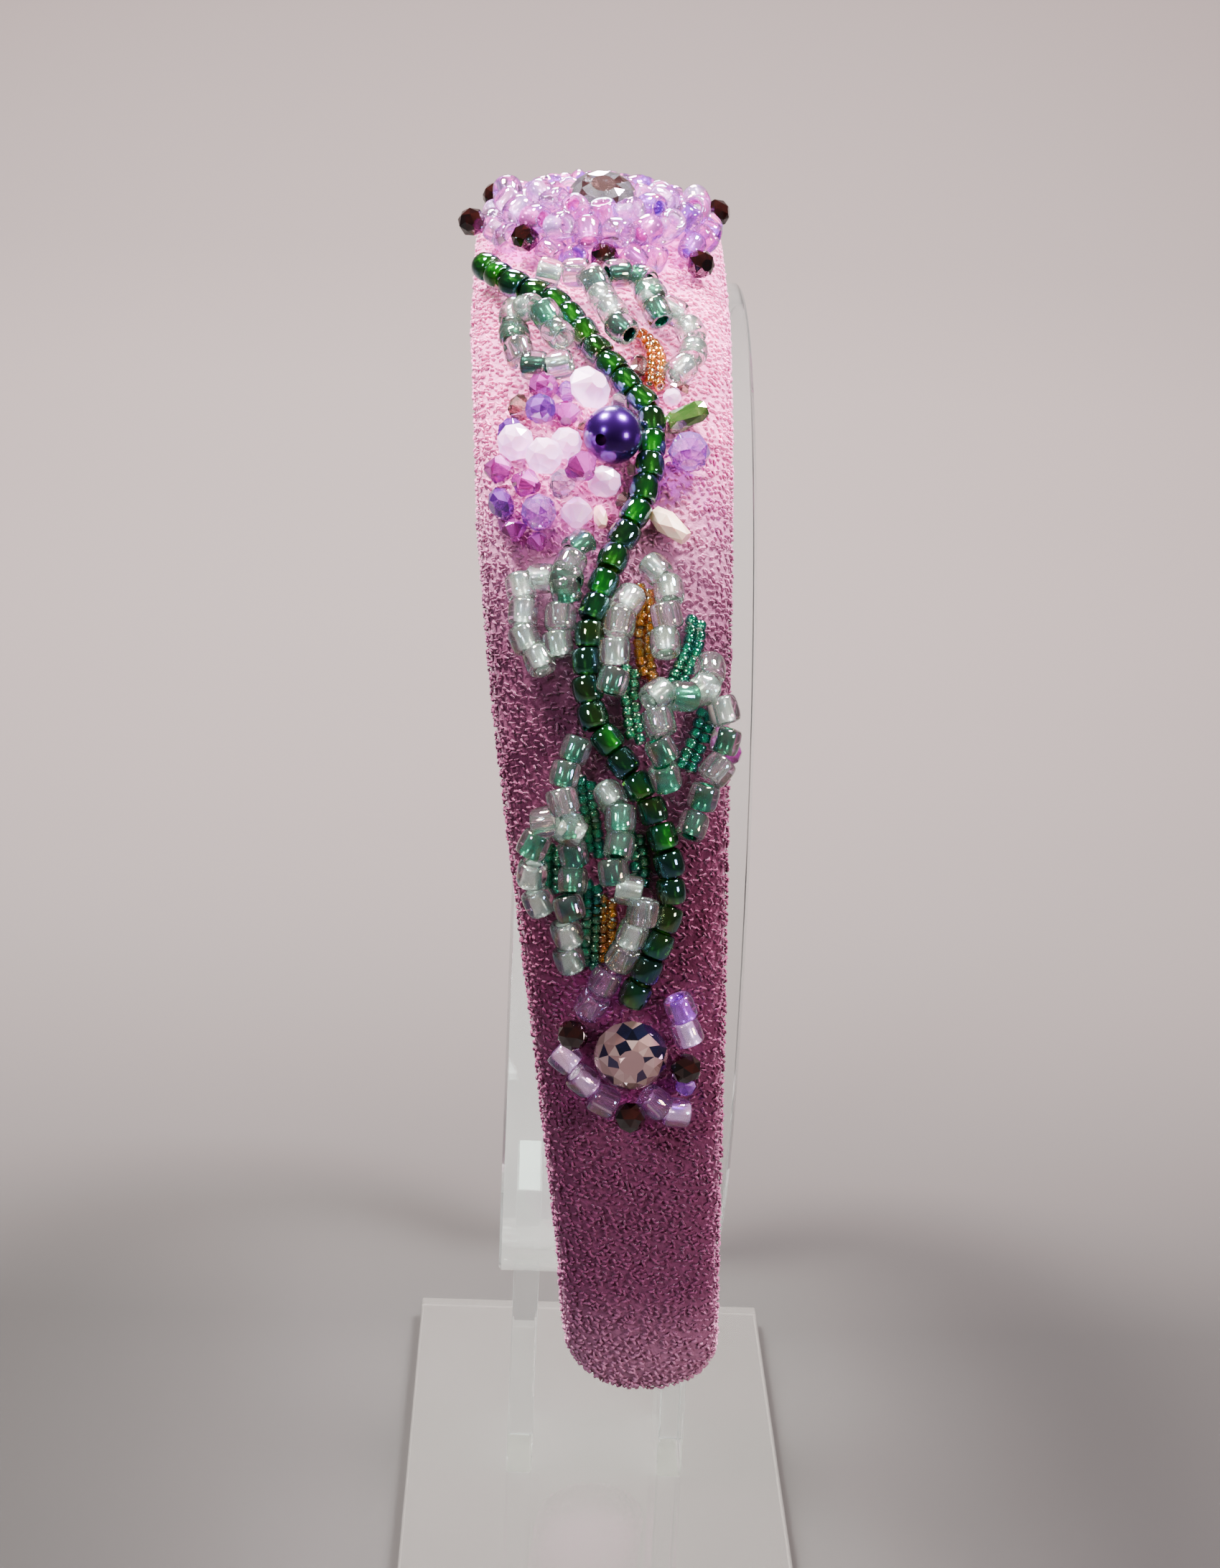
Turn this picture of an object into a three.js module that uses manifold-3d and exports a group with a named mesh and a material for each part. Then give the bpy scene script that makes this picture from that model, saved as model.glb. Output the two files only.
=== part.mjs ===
// A jeweled padded headband on a clear acrylic stand.
// Millimetres, +Z up. The origin is the middle of the base plate's underside.
// The decorated leg of the headband faces -Y, and the band bends in the YZ plane.

import * as THREE from 'three';
import { mergeVertices } from 'three/addons/utils/BufferGeometryUtils.js';
import Module from 'manifold-3d';

const wasm = await Module();
wasm.setup();

// Stand
const BASE_WIDTH = 60;
const BASE_DEPTH = 100;
const BASE_THICKNESS = 4;
const POST_THICKNESS = 4;
const POST_DEPTH = 20;
const POST_OUTER_SPACING = 28;
const STRIP_WIDTH = 30;
const STRIP_THICKNESS = 3;

// Loop of the strip, measured to the middle of its thickness
const LOOP_OFFSET_X = -1.3;
const LOOP_HALF_SPAN = 74;
const LOOP_RISE = 80;
const LOOP_EQUATOR_Z = 111;
const LOOP_FLOOR_Z = 51.5;
const LOOP_FLOOR_HALF = 12;
const LOOP_CORNER_POWER = 2.2;

// Padded band
const FIT_GAP = 0.3;
const BAND_THICKNESS_CROWN = 11;
const BAND_THICKNESS_TIP = 8;
const LEG_BEND_RADIUS = 190;
const TIP_Z = 57;
const TIP_ROUNDING = 9;
const SECTION_POWER = 2.7;

// Middle and width of the band at distances down its outer line from the crown
const BAND_ROWS = [
  // along, middle, width
  { along: 0, middle: -6.0, width: 34.0 },
  { along: 40, middle: -5.8, width: 33.8 },
  { along: 75, middle: -4.8, width: 31.8 },
  { along: 100, middle: -3.4, width: 29.0 },
  { along: 125, middle: -1.2, width: 25.8 },
  { along: 150, middle: 1.0, width: 23.0 },
  { along: 175, middle: 3.1, width: 20.6 },
  { along: 200, middle: 5.0, width: 19.6 },
];

// Beads
const BEAD_DIAMETER = 3.7;
const BEAD_PITCH = 3.4;
const BEAD_SIDES = 10;
const BEAD_NECK = 0.62;
const SEED_STRAND_DIAMETER = 1.7;
const SEED_STRAND_SIDES = 8;
const GARNET_DIAMETER = 4;
const GARNET_LENGTH = 3.6;
const CRYSTAL_SIDES = 8;
const ROUND_BEAD_SIDES = 10;
const SET_STONE_SIDES = 12;
const PEARL_DIAMETER = 7.4;
const PEARL_HOLE = 1.2;
const PEARL_SIDES = 16;
const THREAD_DIAMETER = 1;
const THREAD_SIDES = 6;

const COLOURS = {
  cloth: 0xb5709a,
  acrylic: 0xe6ecea,
  stem: 0x1f6a1e,
  leaf: 0xcfe6da,
  teal: 0x0e7f5e,
  amber: 0xc87a12,
  pearl: 0x3b1a66,
  opal: 0xe6d3e6,
  garnet: 0x2a0a14,
  lilac: 0xc58be0,
  pink: 0xc9558f,
  violet: 0x8a5ab8,
  smoke: 0xb98f92,
  rose: 0xe3b6b0,
  cream: 0xe8cdb4,
  green: 0x4f7a3a,
  clear: 0xe9eef0,
};

function material(colour, roughness = 0.1, metalness = 0) {
  return new THREE.MeshStandardMaterial({ color: COLOURS[colour], roughness, metalness });
}

function named(name, geometry, finish) {
  const mesh = new THREE.Mesh(geometry, finish);
  mesh.name = name;
  return mesh;
}

// Joining of closed meshes
function solidOf(geometry) {
  const bare = geometry.clone();
  bare.deleteAttribute('normal');
  bare.deleteAttribute('uv');
  const merged = mergeVertices(bare, 1e-4);
  const corners = Array.from(merged.index.array);
  const triangles = [];
  for (let i = 0; i < corners.length; i += 3) {
    const [a, b, c] = corners.slice(i, i + 3);
    if (a !== b && b !== c && c !== a) triangles.push(a, b, c);
  }
  return new wasm.Manifold(new wasm.Mesh({
    numProp: 3,
    vertProperties: new Float32Array(merged.attributes.position.array),
    triVerts: new Uint32Array(triangles),
  }));
}

function geometryOf(solid) {
  const mesh = solid.getMesh();
  const geometry = new THREE.BufferGeometry();
  geometry.setAttribute('position', new THREE.BufferAttribute(mesh.vertProperties, 3));
  geometry.setIndex(new THREE.BufferAttribute(mesh.triVerts, 1));
  geometry.computeVertexNormals();
  return geometry;
}

function fuse(geometries) {
  let solid = solidOf(geometries[0]);
  for (const geometry of geometries.slice(1)) {
    solid = solid.add(solidOf(geometry));
  }
  return geometryOf(solid);
}

// A closed skin over rings of equal point count, given in order along the piece.
// A looped skin joins its last ring to its first, and any other is closed by flat ends.
function skin(rings, looped = false) {
  const count = rings[0].length;
  const points = [];
  const triangles = [];
  for (const ring of rings) {
    for (const point of ring) points.push(point.x, point.y, point.z);
  }
  const spans = looped ? rings.length : rings.length - 1;
  for (let r = 0; r < spans; r++) {
    const next = (r + 1) % rings.length;
    for (let i = 0; i < count; i++) {
      const j = (i + 1) % count;
      const a = r * count + i;
      const b = r * count + j;
      const c = next * count + i;
      const d = next * count + j;
      triangles.push(a, b, d, a, d, c);
    }
  }
  const last = (rings.length - 1) * count;
  for (let i = 1; i < count - 1 && !looped; i++) {
    triangles.push(0, i + 1, i);
    triangles.push(last, last + i, last + i + 1);
  }
  const geometry = new THREE.BufferGeometry();
  geometry.setAttribute('position', new THREE.Float32BufferAttribute(points, 3));
  geometry.setIndex(triangles);
  geometry.computeVertexNormals();
  return geometry;
}

// Middle line of the strip's upper half: y, z and the outward direction at an angle from the crown
function archPoint(angle) {
  const y = -LOOP_HALF_SPAN * Math.sin(angle);
  const z = LOOP_EQUATOR_Z + LOOP_RISE * Math.cos(angle);
  const out = new THREE.Vector2(y / LOOP_HALF_SPAN ** 2, (z - LOOP_EQUATOR_Z) / LOOP_RISE ** 2);
  return { y, z, out: out.normalize() };
}

// Middle line of the strip's lower half, from the equator to the flat floor, near side
function lowerPoint(turn) {
  const reach = LOOP_HALF_SPAN - LOOP_FLOOR_HALF;
  const drop = LOOP_EQUATOR_Z - LOOP_FLOOR_Z;
  const y = -(LOOP_FLOOR_HALF + reach * Math.cos(turn) ** (2 / LOOP_CORNER_POWER));
  const z = LOOP_EQUATOR_Z - drop * Math.sin(turn) ** (2 / LOOP_CORNER_POWER);
  return { y, z };
}

function acrylicArch() {
  const UPPER_STEPS = 16;
  const LOWER_STEPS = 10;
  const half = [];
  for (let i = 0; i <= UPPER_STEPS; i++) half.push(archPoint((i / UPPER_STEPS) * Math.PI / 2));
  for (let i = 1; i <= LOWER_STEPS; i++) half.push(lowerPoint((i / LOWER_STEPS) * Math.PI / 2));
  const near = half.map((p) => new THREE.Vector2(p.y, p.z));
  const far = near.slice(1).reverse().map((p) => new THREE.Vector2(-p.x, p.y));
  const line = near.concat(far);
  const count = line.length;
  const offsetLine = (distance) => line.map((point, i) => {
    const before = line[(i + count - 1) % count];
    const after = line[(i + 1) % count];
    const run = after.clone().sub(before).normalize();
    return new THREE.Vector2(point.x + run.y * -distance, point.y + run.x * distance);
  });
  // The line runs from the crown down the near side, so its right hand is outside
  const outer = new THREE.Shape(offsetLine(-STRIP_THICKNESS / 2));
  outer.holes.push(new THREE.Path(offsetLine(STRIP_THICKNESS / 2)));
  const geometry = new THREE.ExtrudeGeometry(outer, { depth: STRIP_WIDTH, bevelEnabled: false });
  // The shape's x is world Y and its y is world Z, and the extrusion runs along world X
  geometry.applyMatrix4(new THREE.Matrix4().makeBasis(
    new THREE.Vector3(0, 1, 0), new THREE.Vector3(0, 0, 1), new THREE.Vector3(1, 0, 0)));
  geometry.translate(-STRIP_WIDTH / 2, 0, 0);
  return geometry;
}

function plate(width, depth, height, x, y, floor) {
  const geometry = new THREE.BoxGeometry(width, depth, height);
  geometry.translate(x, y, floor + height / 2);
  return geometry;
}

// Line of the near leg, sampled from the crown to the tip. Each sample has the strip-side
// point, the outward direction, the band's thickness there and the distance along its outer face.
function bandLine() {
  const ARCH_SAMPLES = 90;
  const LEG_SAMPLES = 40;
  const samples = [];
  for (let i = 0; i <= ARCH_SAMPLES; i++) samples.push(archPoint((i / ARCH_SAMPLES) * Math.PI / 2));
  const sweep = Math.asin((LOOP_EQUATOR_Z - TIP_Z) / LEG_BEND_RADIUS);
  for (let i = 1; i <= LEG_SAMPLES; i++) {
    const angle = (i / LEG_SAMPLES) * sweep;
    samples.push({
      y: -LOOP_HALF_SPAN + LEG_BEND_RADIUS * (1 - Math.cos(angle)),
      z: LOOP_EQUATOR_Z - LEG_BEND_RADIUS * Math.sin(angle),
      out: new THREE.Vector2(-Math.cos(angle), -Math.sin(angle)),
    });
  }
  let run = 0;
  const runs = samples.map((p, i) => {
    if (i > 0) run += Math.hypot(p.y - samples[i - 1].y, p.z - samples[i - 1].z);
    return run;
  });
  samples.forEach((p, i) => {
    const share = runs[i] / run;
    p.thickness = BAND_THICKNESS_CROWN + (BAND_THICKNESS_TIP - BAND_THICKNESS_CROWN) * share;
    p.inner = STRIP_THICKNESS / 2 + FIT_GAP;
  });
  let along = 0;
  let previous = null;
  for (const p of samples) {
    const reach = p.inner + p.thickness;
    const top = new THREE.Vector2(p.y + p.out.x * reach, p.z + p.out.y * reach);
    if (previous) along += top.distanceTo(previous);
    p.along = along;
    previous = top;
  }
  return samples;
}

const LINE = bandLine();
const LINE_END = LINE[LINE.length - 1].along;

function lineAt(along) {
  let i = 1;
  while (i < LINE.length - 1 && LINE[i].along < along) i++;
  const a = LINE[i - 1];
  const b = LINE[i];
  const t = (along - a.along) / (b.along - a.along);
  const mix = (key) => a[key] + (b[key] - a[key]) * t;
  const out = a.out.clone().lerp(b.out, t).normalize();
  return { y: mix('y'), z: mix('z'), out, thickness: mix('thickness'), inner: mix('inner') };
}

function bandRow(along) {
  const distance = Math.abs(along);
  let i = 1;
  while (i < BAND_ROWS.length - 1 && BAND_ROWS[i].along < distance) i++;
  const a = BAND_ROWS[i - 1];
  const b = BAND_ROWS[i];
  const t = (distance - a.along) / (b.along - a.along);
  return { middle: a.middle + (b.middle - a.middle) * t, width: a.width + (b.width - a.width) * t };
}

// Signed power, for rounded square sections
function rounded(value, power) {
  return Math.sign(value) * Math.abs(value) ** (2 / power);
}

// A point on the band at x, a distance down the near leg and a lift over the cloth there
function onBand(x, along, lift) {
  const p = lineAt(along);
  const row = bandRow(along);
  const side = Math.min(1, Math.abs(x - row.middle) / (row.width / 2));
  const dome = (1 - side ** SECTION_POWER) ** (1 / SECTION_POWER);
  const height = p.inner + p.thickness / 2 + (p.thickness / 2) * dome + lift;
  return new THREE.Vector3(x, p.y + p.out.x * height, p.z + p.out.y * height);
}

function outwardAt(along) {
  const { out } = lineAt(along);
  return new THREE.Vector3(0, out.x, out.y);
}

function paddedBand() {
  const STEPS = 36;
  const CAP_STEPS = 5;
  const SECTION_POINTS = 16;
  const stations = [];
  // Half of the stations, from the crown to the near tip; the last few round the tip off
  for (let i = 0; i <= STEPS / 2; i++) {
    stations.push({ along: (i / (STEPS / 2)) * (LINE_END - TIP_ROUNDING), shrink: 1, flat: 1 });
  }
  for (let i = 1; i <= CAP_STEPS; i++) {
    const turn = (i / CAP_STEPS) * Math.PI * 0.46;
    stations.push({
      along: LINE_END - TIP_ROUNDING + TIP_ROUNDING * Math.sin(turn),
      shrink: Math.cos(turn) ** 0.8,
      flat: Math.cos(turn) ** 0.45,
    });
  }
  const ring = ({ along, shrink, flat }, mirror) => {
    const p = lineAt(along);
    const row = bandRow(along);
    const points = [];
    for (let i = 0; i < SECTION_POINTS; i++) {
      const turn = (i / SECTION_POINTS) * Math.PI * 2;
      const x = row.middle + rounded(Math.cos(turn), SECTION_POWER) * (row.width / 2) * shrink;
      const rise = rounded(Math.sin(turn), SECTION_POWER) * (p.thickness / 2) * flat;
      const height = p.inner + p.thickness / 2 + rise;
      const y = p.y + p.out.x * height;
      points.push(new THREE.Vector3(x, mirror ? -y : y, p.z + p.out.y * height));
    }
    return points;
  };
  const near = stations.map((station) => ring(station, false));
  const far = stations.slice(1).map((station) => ring(station, true));
  return skin(far.reverse().concat(near));
}

// A turned bead: its axis is local Y
function turned(profile, sides) {
  return new THREE.LatheGeometry(profile.map(([r, h]) => new THREE.Vector2(r, h)), sides);
}

// A cut crystal bead: a flat table at each end, a row of facets above and below the girdle
function crystal(diameter, length, sides = CRYSTAL_SIDES) {
  const TABLE = 0.5;
  const GIRDLE = 0.12;
  const r = diameter / 2;
  const h = length / 2;
  const profile = [[0, -h], [r * TABLE, -h], [r, -h * GIRDLE], [r, h * GIRDLE], [r * TABLE, h], [0, h]];
  return turned(profile, sides);
}

// A stone set flat: table up along local Y, crown facets, girdle and pavilion
function setStone(width, height, sides) {
  const TABLE = 0.55;
  const CULET = 0.25;
  const r = width / 2;
  return turned([
    [0, -height * 0.45], [r * CULET, -height * 0.45], [r, 0], [r, height * 0.1],
    [r * TABLE, height * 0.55], [0, height * 0.55],
  ], sides);
}

function barrel(diameter, length, end, sides) {
  const r = diameter / 2;
  const h = length / 2;
  return turned([[0, -h], [r * end, -h], [r, -h * 0.4], [r, h * 0.4], [r * end, h], [0, h]], sides);
}

function drilledPearl() {
  const ARCS = 8;
  const r = PEARL_DIAMETER / 2;
  const start = Math.asin(PEARL_HOLE / 2 / r);
  const profile = [];
  for (let i = 0; i <= ARCS; i++) {
    const turn = start + (i / ARCS) * (Math.PI - 2 * start);
    profile.push([r * Math.sin(turn), -r * Math.cos(turn)]);
  }
  profile.push(profile[0]);
  return turned(profile, PEARL_SIDES);
}

// Turns local Y to a direction given by its turn in the cloth and its tip out of the cloth, in degrees
function placed(geometry, x, along, lift, turn = 0, tip = 0) {
  const out = outwardAt(along);
  const across = new THREE.Vector3(1, 0, 0);
  const down = new THREE.Vector3().crossVectors(across, out);
  const a = THREE.MathUtils.degToRad(turn);
  const b = THREE.MathUtils.degToRad(tip);
  const axis = across.clone().multiplyScalar(Math.cos(a) * Math.cos(b))
    .addScaledVector(down, Math.sin(a) * Math.cos(b))
    .addScaledVector(out, Math.sin(b));
  return aligned(geometry, onBand(x, along, lift), axis);
}

function aligned(geometry, position, axis) {
  const up = new THREE.Vector3(0, 1, 0);
  const turn = new THREE.Quaternion().setFromUnitVectors(up, axis.clone().normalize());
  geometry.applyMatrix4(new THREE.Matrix4().compose(position, turn, new THREE.Vector3(1, 1, 1)));
  return geometry;
}

function curveThrough(rows) {
  const points = rows.map(([x, along, lift]) => onBand(x, along, lift));
  return new THREE.CatmullRomCurve3(points, false, 'centripetal');
}

// One string of beads: a tube that is full at each bead's middle and narrow where two beads meet
function beadSkin(curve) {
  const length = curve.getLength();
  const count = Math.max(2, Math.round(length / BEAD_PITCH) + 1);
  const pitch = length / (count - 1);
  const radius = BEAD_DIAMETER / 2;
  const stations = [{ distance: -pitch / 2, size: radius * BEAD_NECK }];
  for (let i = 0; i < count; i++) {
    stations.push({ distance: i * pitch, size: radius });
    stations.push({ distance: (i + 0.5) * pitch, size: radius * BEAD_NECK });
  }
  return skin(stations.map(({ distance, size }) => {
    const inside = THREE.MathUtils.clamp(distance / length, 0, 1);
    const run = curve.getTangentAt(inside);
    const middle = curve.getPointAt(inside).addScaledVector(run, distance - inside * length);
    return circleRound(middle, run, size, BEAD_SIDES);
  }));
}

// A ring of beads on a closed curve
function beadRing(curve) {
  const count = Math.round(curve.getLength() / BEAD_PITCH);
  const radius = BEAD_DIAMETER / 2;
  const rings = [];
  for (let i = 0; i < count; i++) {
    for (const [shift, size] of [[0, radius], [0.5, radius * BEAD_NECK]]) {
      const u = ((i + shift + count) / count) % 1;
      rings.push(circleRound(curve.getPointAt(u), curve.getTangentAt(u), size, BEAD_SIDES));
    }
  }
  return skin(rings, true);
}

function circleRound(middle, axis, radius, sides) {
  const guide = new THREE.Vector3(0, middle.y, middle.z - LOOP_EQUATOR_Z);
  const u = new THREE.Vector3().crossVectors(guide, axis).normalize();
  const v = new THREE.Vector3().crossVectors(axis, u).normalize();
  const points = [];
  for (let i = 0; i < sides; i++) {
    const turn = (i / sides) * Math.PI * 2;
    const across = u.clone().multiplyScalar(Math.cos(turn) * radius);
    points.push(middle.clone().add(across).addScaledVector(v, Math.sin(turn) * radius));
  }
  return points;
}

function beadString(strings) {
  const skins = strings.map((rows) => beadSkin(curveThrough(rows)));
  return skins.length > 1 ? fuse(skins) : skins[0];
}

// A plain round tube along a row of points
function tube(rows, diameter, sides) {
  const curve = curveThrough(rows);
  const circle = new THREE.Shape();
  const points = [];
  for (let i = 0; i < sides; i++) {
    const turn = (i / sides) * Math.PI * 2;
    points.push(new THREE.Vector2(Math.cos(turn), Math.sin(turn)).multiplyScalar(diameter / 2));
  }
  circle.setFromPoints(points);
  const steps = Math.max(3, Math.round(curve.getLength() / (diameter * 1.5)));
  return new THREE.ExtrudeGeometry(circle, { steps, bevelEnabled: false, extrudePath: curve });
}

const seedStrand = (rows) => tube(rows, SEED_STRAND_DIAMETER, SEED_STRAND_SIDES);

// Tables of what is sewn on. Each row is across, along, lift: millimetres across from the
// middle of the strip, down the leg from the crown, and from the cloth to the bead's middle.

const STEM = [
  [-21.2, 33.2, 3.2], [-18.5, 37.6, 3.0], [-15.7, 39.8, 2.6], [-12.6, 41.9, 2.4],
  [-9.4, 46.2, 2.3], [-5.7, 52.2, 2.3], [-1.8, 57.9, 2.3], [0, 60.4, 2.3], [0.6, 64, 2.3], [0.2, 70, 2.3], [-1.3, 75.5, 2.3], [-3.6, 80.8, 2.3], [-6.1, 88.8, 2.3],
  [-6.7, 95, 2.3], [-5.9, 101, 2.3], [-2.9, 105.4, 2.3], [1.3, 111.2, 2.3], [4, 117.8, 2.3],
  [4.5, 123, 2.3], [3, 128.8, 2.3], [0.7, 134.6, 2.3],
];

const LEAVES = {
  leaf_upper_left: [
    [
      [-11.7, 50.2, 4.2], [-13.3, 47.4, 4.8], [-15.0, 46.2, 4.8], [-17.2, 44.6, 3.4],
      [-17.2, 48.0, 2.3],
    ],
    [[-17.2, 48.0, 2.3], [-16.4, 51.4, 2.3], [-14.4, 53.8, 2.3], [-11.2, 54.0, 2.6]],
  ],
  leaf_upper_middle: [
    [
      [-13.0, 37.8, 3.8], [-9.9, 37.4, 3.6], [-7.2, 39.0, 3.6], [-6.2, 42.4, 3.8],
      [-4.9, 46, 4.6], [-3.5, 49.8, 5.0],
    ],
    [[-7.2, 39.0, 3.6], [-4.4, 38.0, 4.0], [-1.0, 38, 3.6], [0.3, 41, 3.4], [1.2, 44.4, 3.2]],
    [[0.3, 41, 3.4], [3.8, 43.8, 2.6], [5.8, 46.8, 2.3], [5.8, 50.4, 2.3], [4.3, 53.4, 2.3]],
  ],
  leaf_middle_left: [
    [[-8.2, 80.2, 2.4], [-9.2, 82.8, 3.4], [-9.6, 85.8, 3.4], [-10.2, 89.2, 2.6], [-10.4, 92.6, 2.3]],
    [
      [-9.6, 85.0, 3.4], [-12.6, 84.4, 2.3], [-15.0, 84.8, 2.3], [-14.8, 88.4, 2.3],
      [-14.6, 91.6, 2.3], [-12.6, 94.6, 2.3],
    ],
  ],
  leaf_middle_right: [
    [[1.4, 82.8, 2.3], [3, 85.4, 3.0], [2.8, 88.8, 3.4], [2.7, 92.2, 3.4]],
  ],
  leaf_middle_centre: [
    [[-2.0, 87.4, 3.6], [-3.0, 90.6, 5.0], [-3.5, 94, 5.2], [-3.6, 97.4, 5.0]],
  ],
  leaf_side: [
    [
      [8.4, 94.8, 2.3], [7.7, 97.4, 3.6], [5.0, 98.8, 5.0], [1.9, 98.8, 5.6],
      [2.2, 102.2, 5.4], [2.6, 105.2, 5.0], [3.2, 108.2, 3.8],
    ],
    [
      [7.7, 97.4, 3.6], [10.2, 99.8, 3.6], [10.6, 103.4, 3.2], [9.6, 107.2, 2.6],
      [8.0, 110.6, 2.4], [6.9, 113.9, 2.4],
    ],
  ],
  leaf_lower_left: [
    [
      [-7.8, 105.3, 2.7], [-8.9, 107.8, 3.2], [-9.2, 111.2, 3.6], [-8.0, 115, 4.0],
      [-7.6, 118, 3.0], [-7.6, 121.2, 3.2], [-7.9, 124.6, 3.2], [-8, 127.8, 2.6],
      [-7.6, 130.6, 2.3],
    ],
    [
      [-8.0, 115, 4.0], [-11.6, 114.2, 2.8], [-12.5, 117.2, 2.6], [-12.5, 120.6, 2.6],
      [-11.6, 123.8, 2.4],
    ],
  ],
  leaf_lower_centre: [
    [
      [-3.4, 110.8, 2.6], [-2.0, 113.6, 4.4], [-2.2, 117.2, 4.8], [-2.6, 120.6, 4.8],
      [0.2, 122.0, 5.4], [1.0, 124.7, 5.4], [-0.4, 127.2, 4.4], [-1.2, 129.6, 3.8],
    ],
  ],
};

const SEED_STRANDS = {
  amber_strand_upper: {
    colour: 'amber',
    rows: [[-1.2, 46.4, 1.3], [0.4, 48.2, 1.3], [1.2, 50.8, 1.3], [1.0, 53.4, 1.3], [1.0, 55.2, 1.3]],
  },
  amber_strand_middle: {
    colour: 'amber',
    rows: [[0.1, 85.2, 1.3], [0.4, 88.5, 1.3], [0.1, 92, 1.3], [0.8, 95.6, 1.3]],
  },
  amber_strand_lower: {
    colour: 'amber',
    rows: [[-3.2, 123.5, 1.2], [-3.1, 126, 1.2], [-3.0, 128.6, 1.2], [-3.0, 130.8, 1.2]],
  },
  teal_strand_1: {
    colour: 'teal',
    rows: [[6.6, 88.9, 1.3], [6.4, 91.4, 1.3], [5.3, 94.4, 1.3], [4.2, 97.0, 1.3]],
  },
  teal_strand_2: {
    colour: 'teal',
    rows: [[-1.4, 95.5, 1.3], [-1.4, 98, 1.3], [-1.0, 100.6, 1.3], [-0.5, 103.4, 1.3]],
  },
  teal_strand_3: {
    colour: 'teal',
    rows: [[8.2, 100.4, 1.3], [7.6, 102.6, 1.3], [6.8, 104.6, 1.3], [6.0, 106.6, 1.3]],
  },
  teal_strand_4: {
    colour: 'teal',
    rows: [[-6.4, 109.2, 1.3], [-6.0, 111.8, 1.3], [-5.4, 114.6, 1.3], [-5.0, 117.4, 1.3]],
  },
  teal_strand_5: {
    colour: 'teal',
    rows: [[-10.0, 117.4, 1.0], [-10.05, 119.6, 1.0], [-9.95, 122, 1.0]],
  },
  teal_strand_6: {
    colour: 'teal',
    rows: [[-0.1, 115.6, 1.3], [0.6, 118.4, 1.3], [0.6, 120.8, 1.3]],
  },
  teal_strand_7: {
    colour: 'teal',
    rows: [[-5.1, 121.8, 1.3], [-5.0, 125, 1.3], [-5.0, 128.5, 1.3], [-5.0, 131.3, 1.3]],
  },
};

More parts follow.
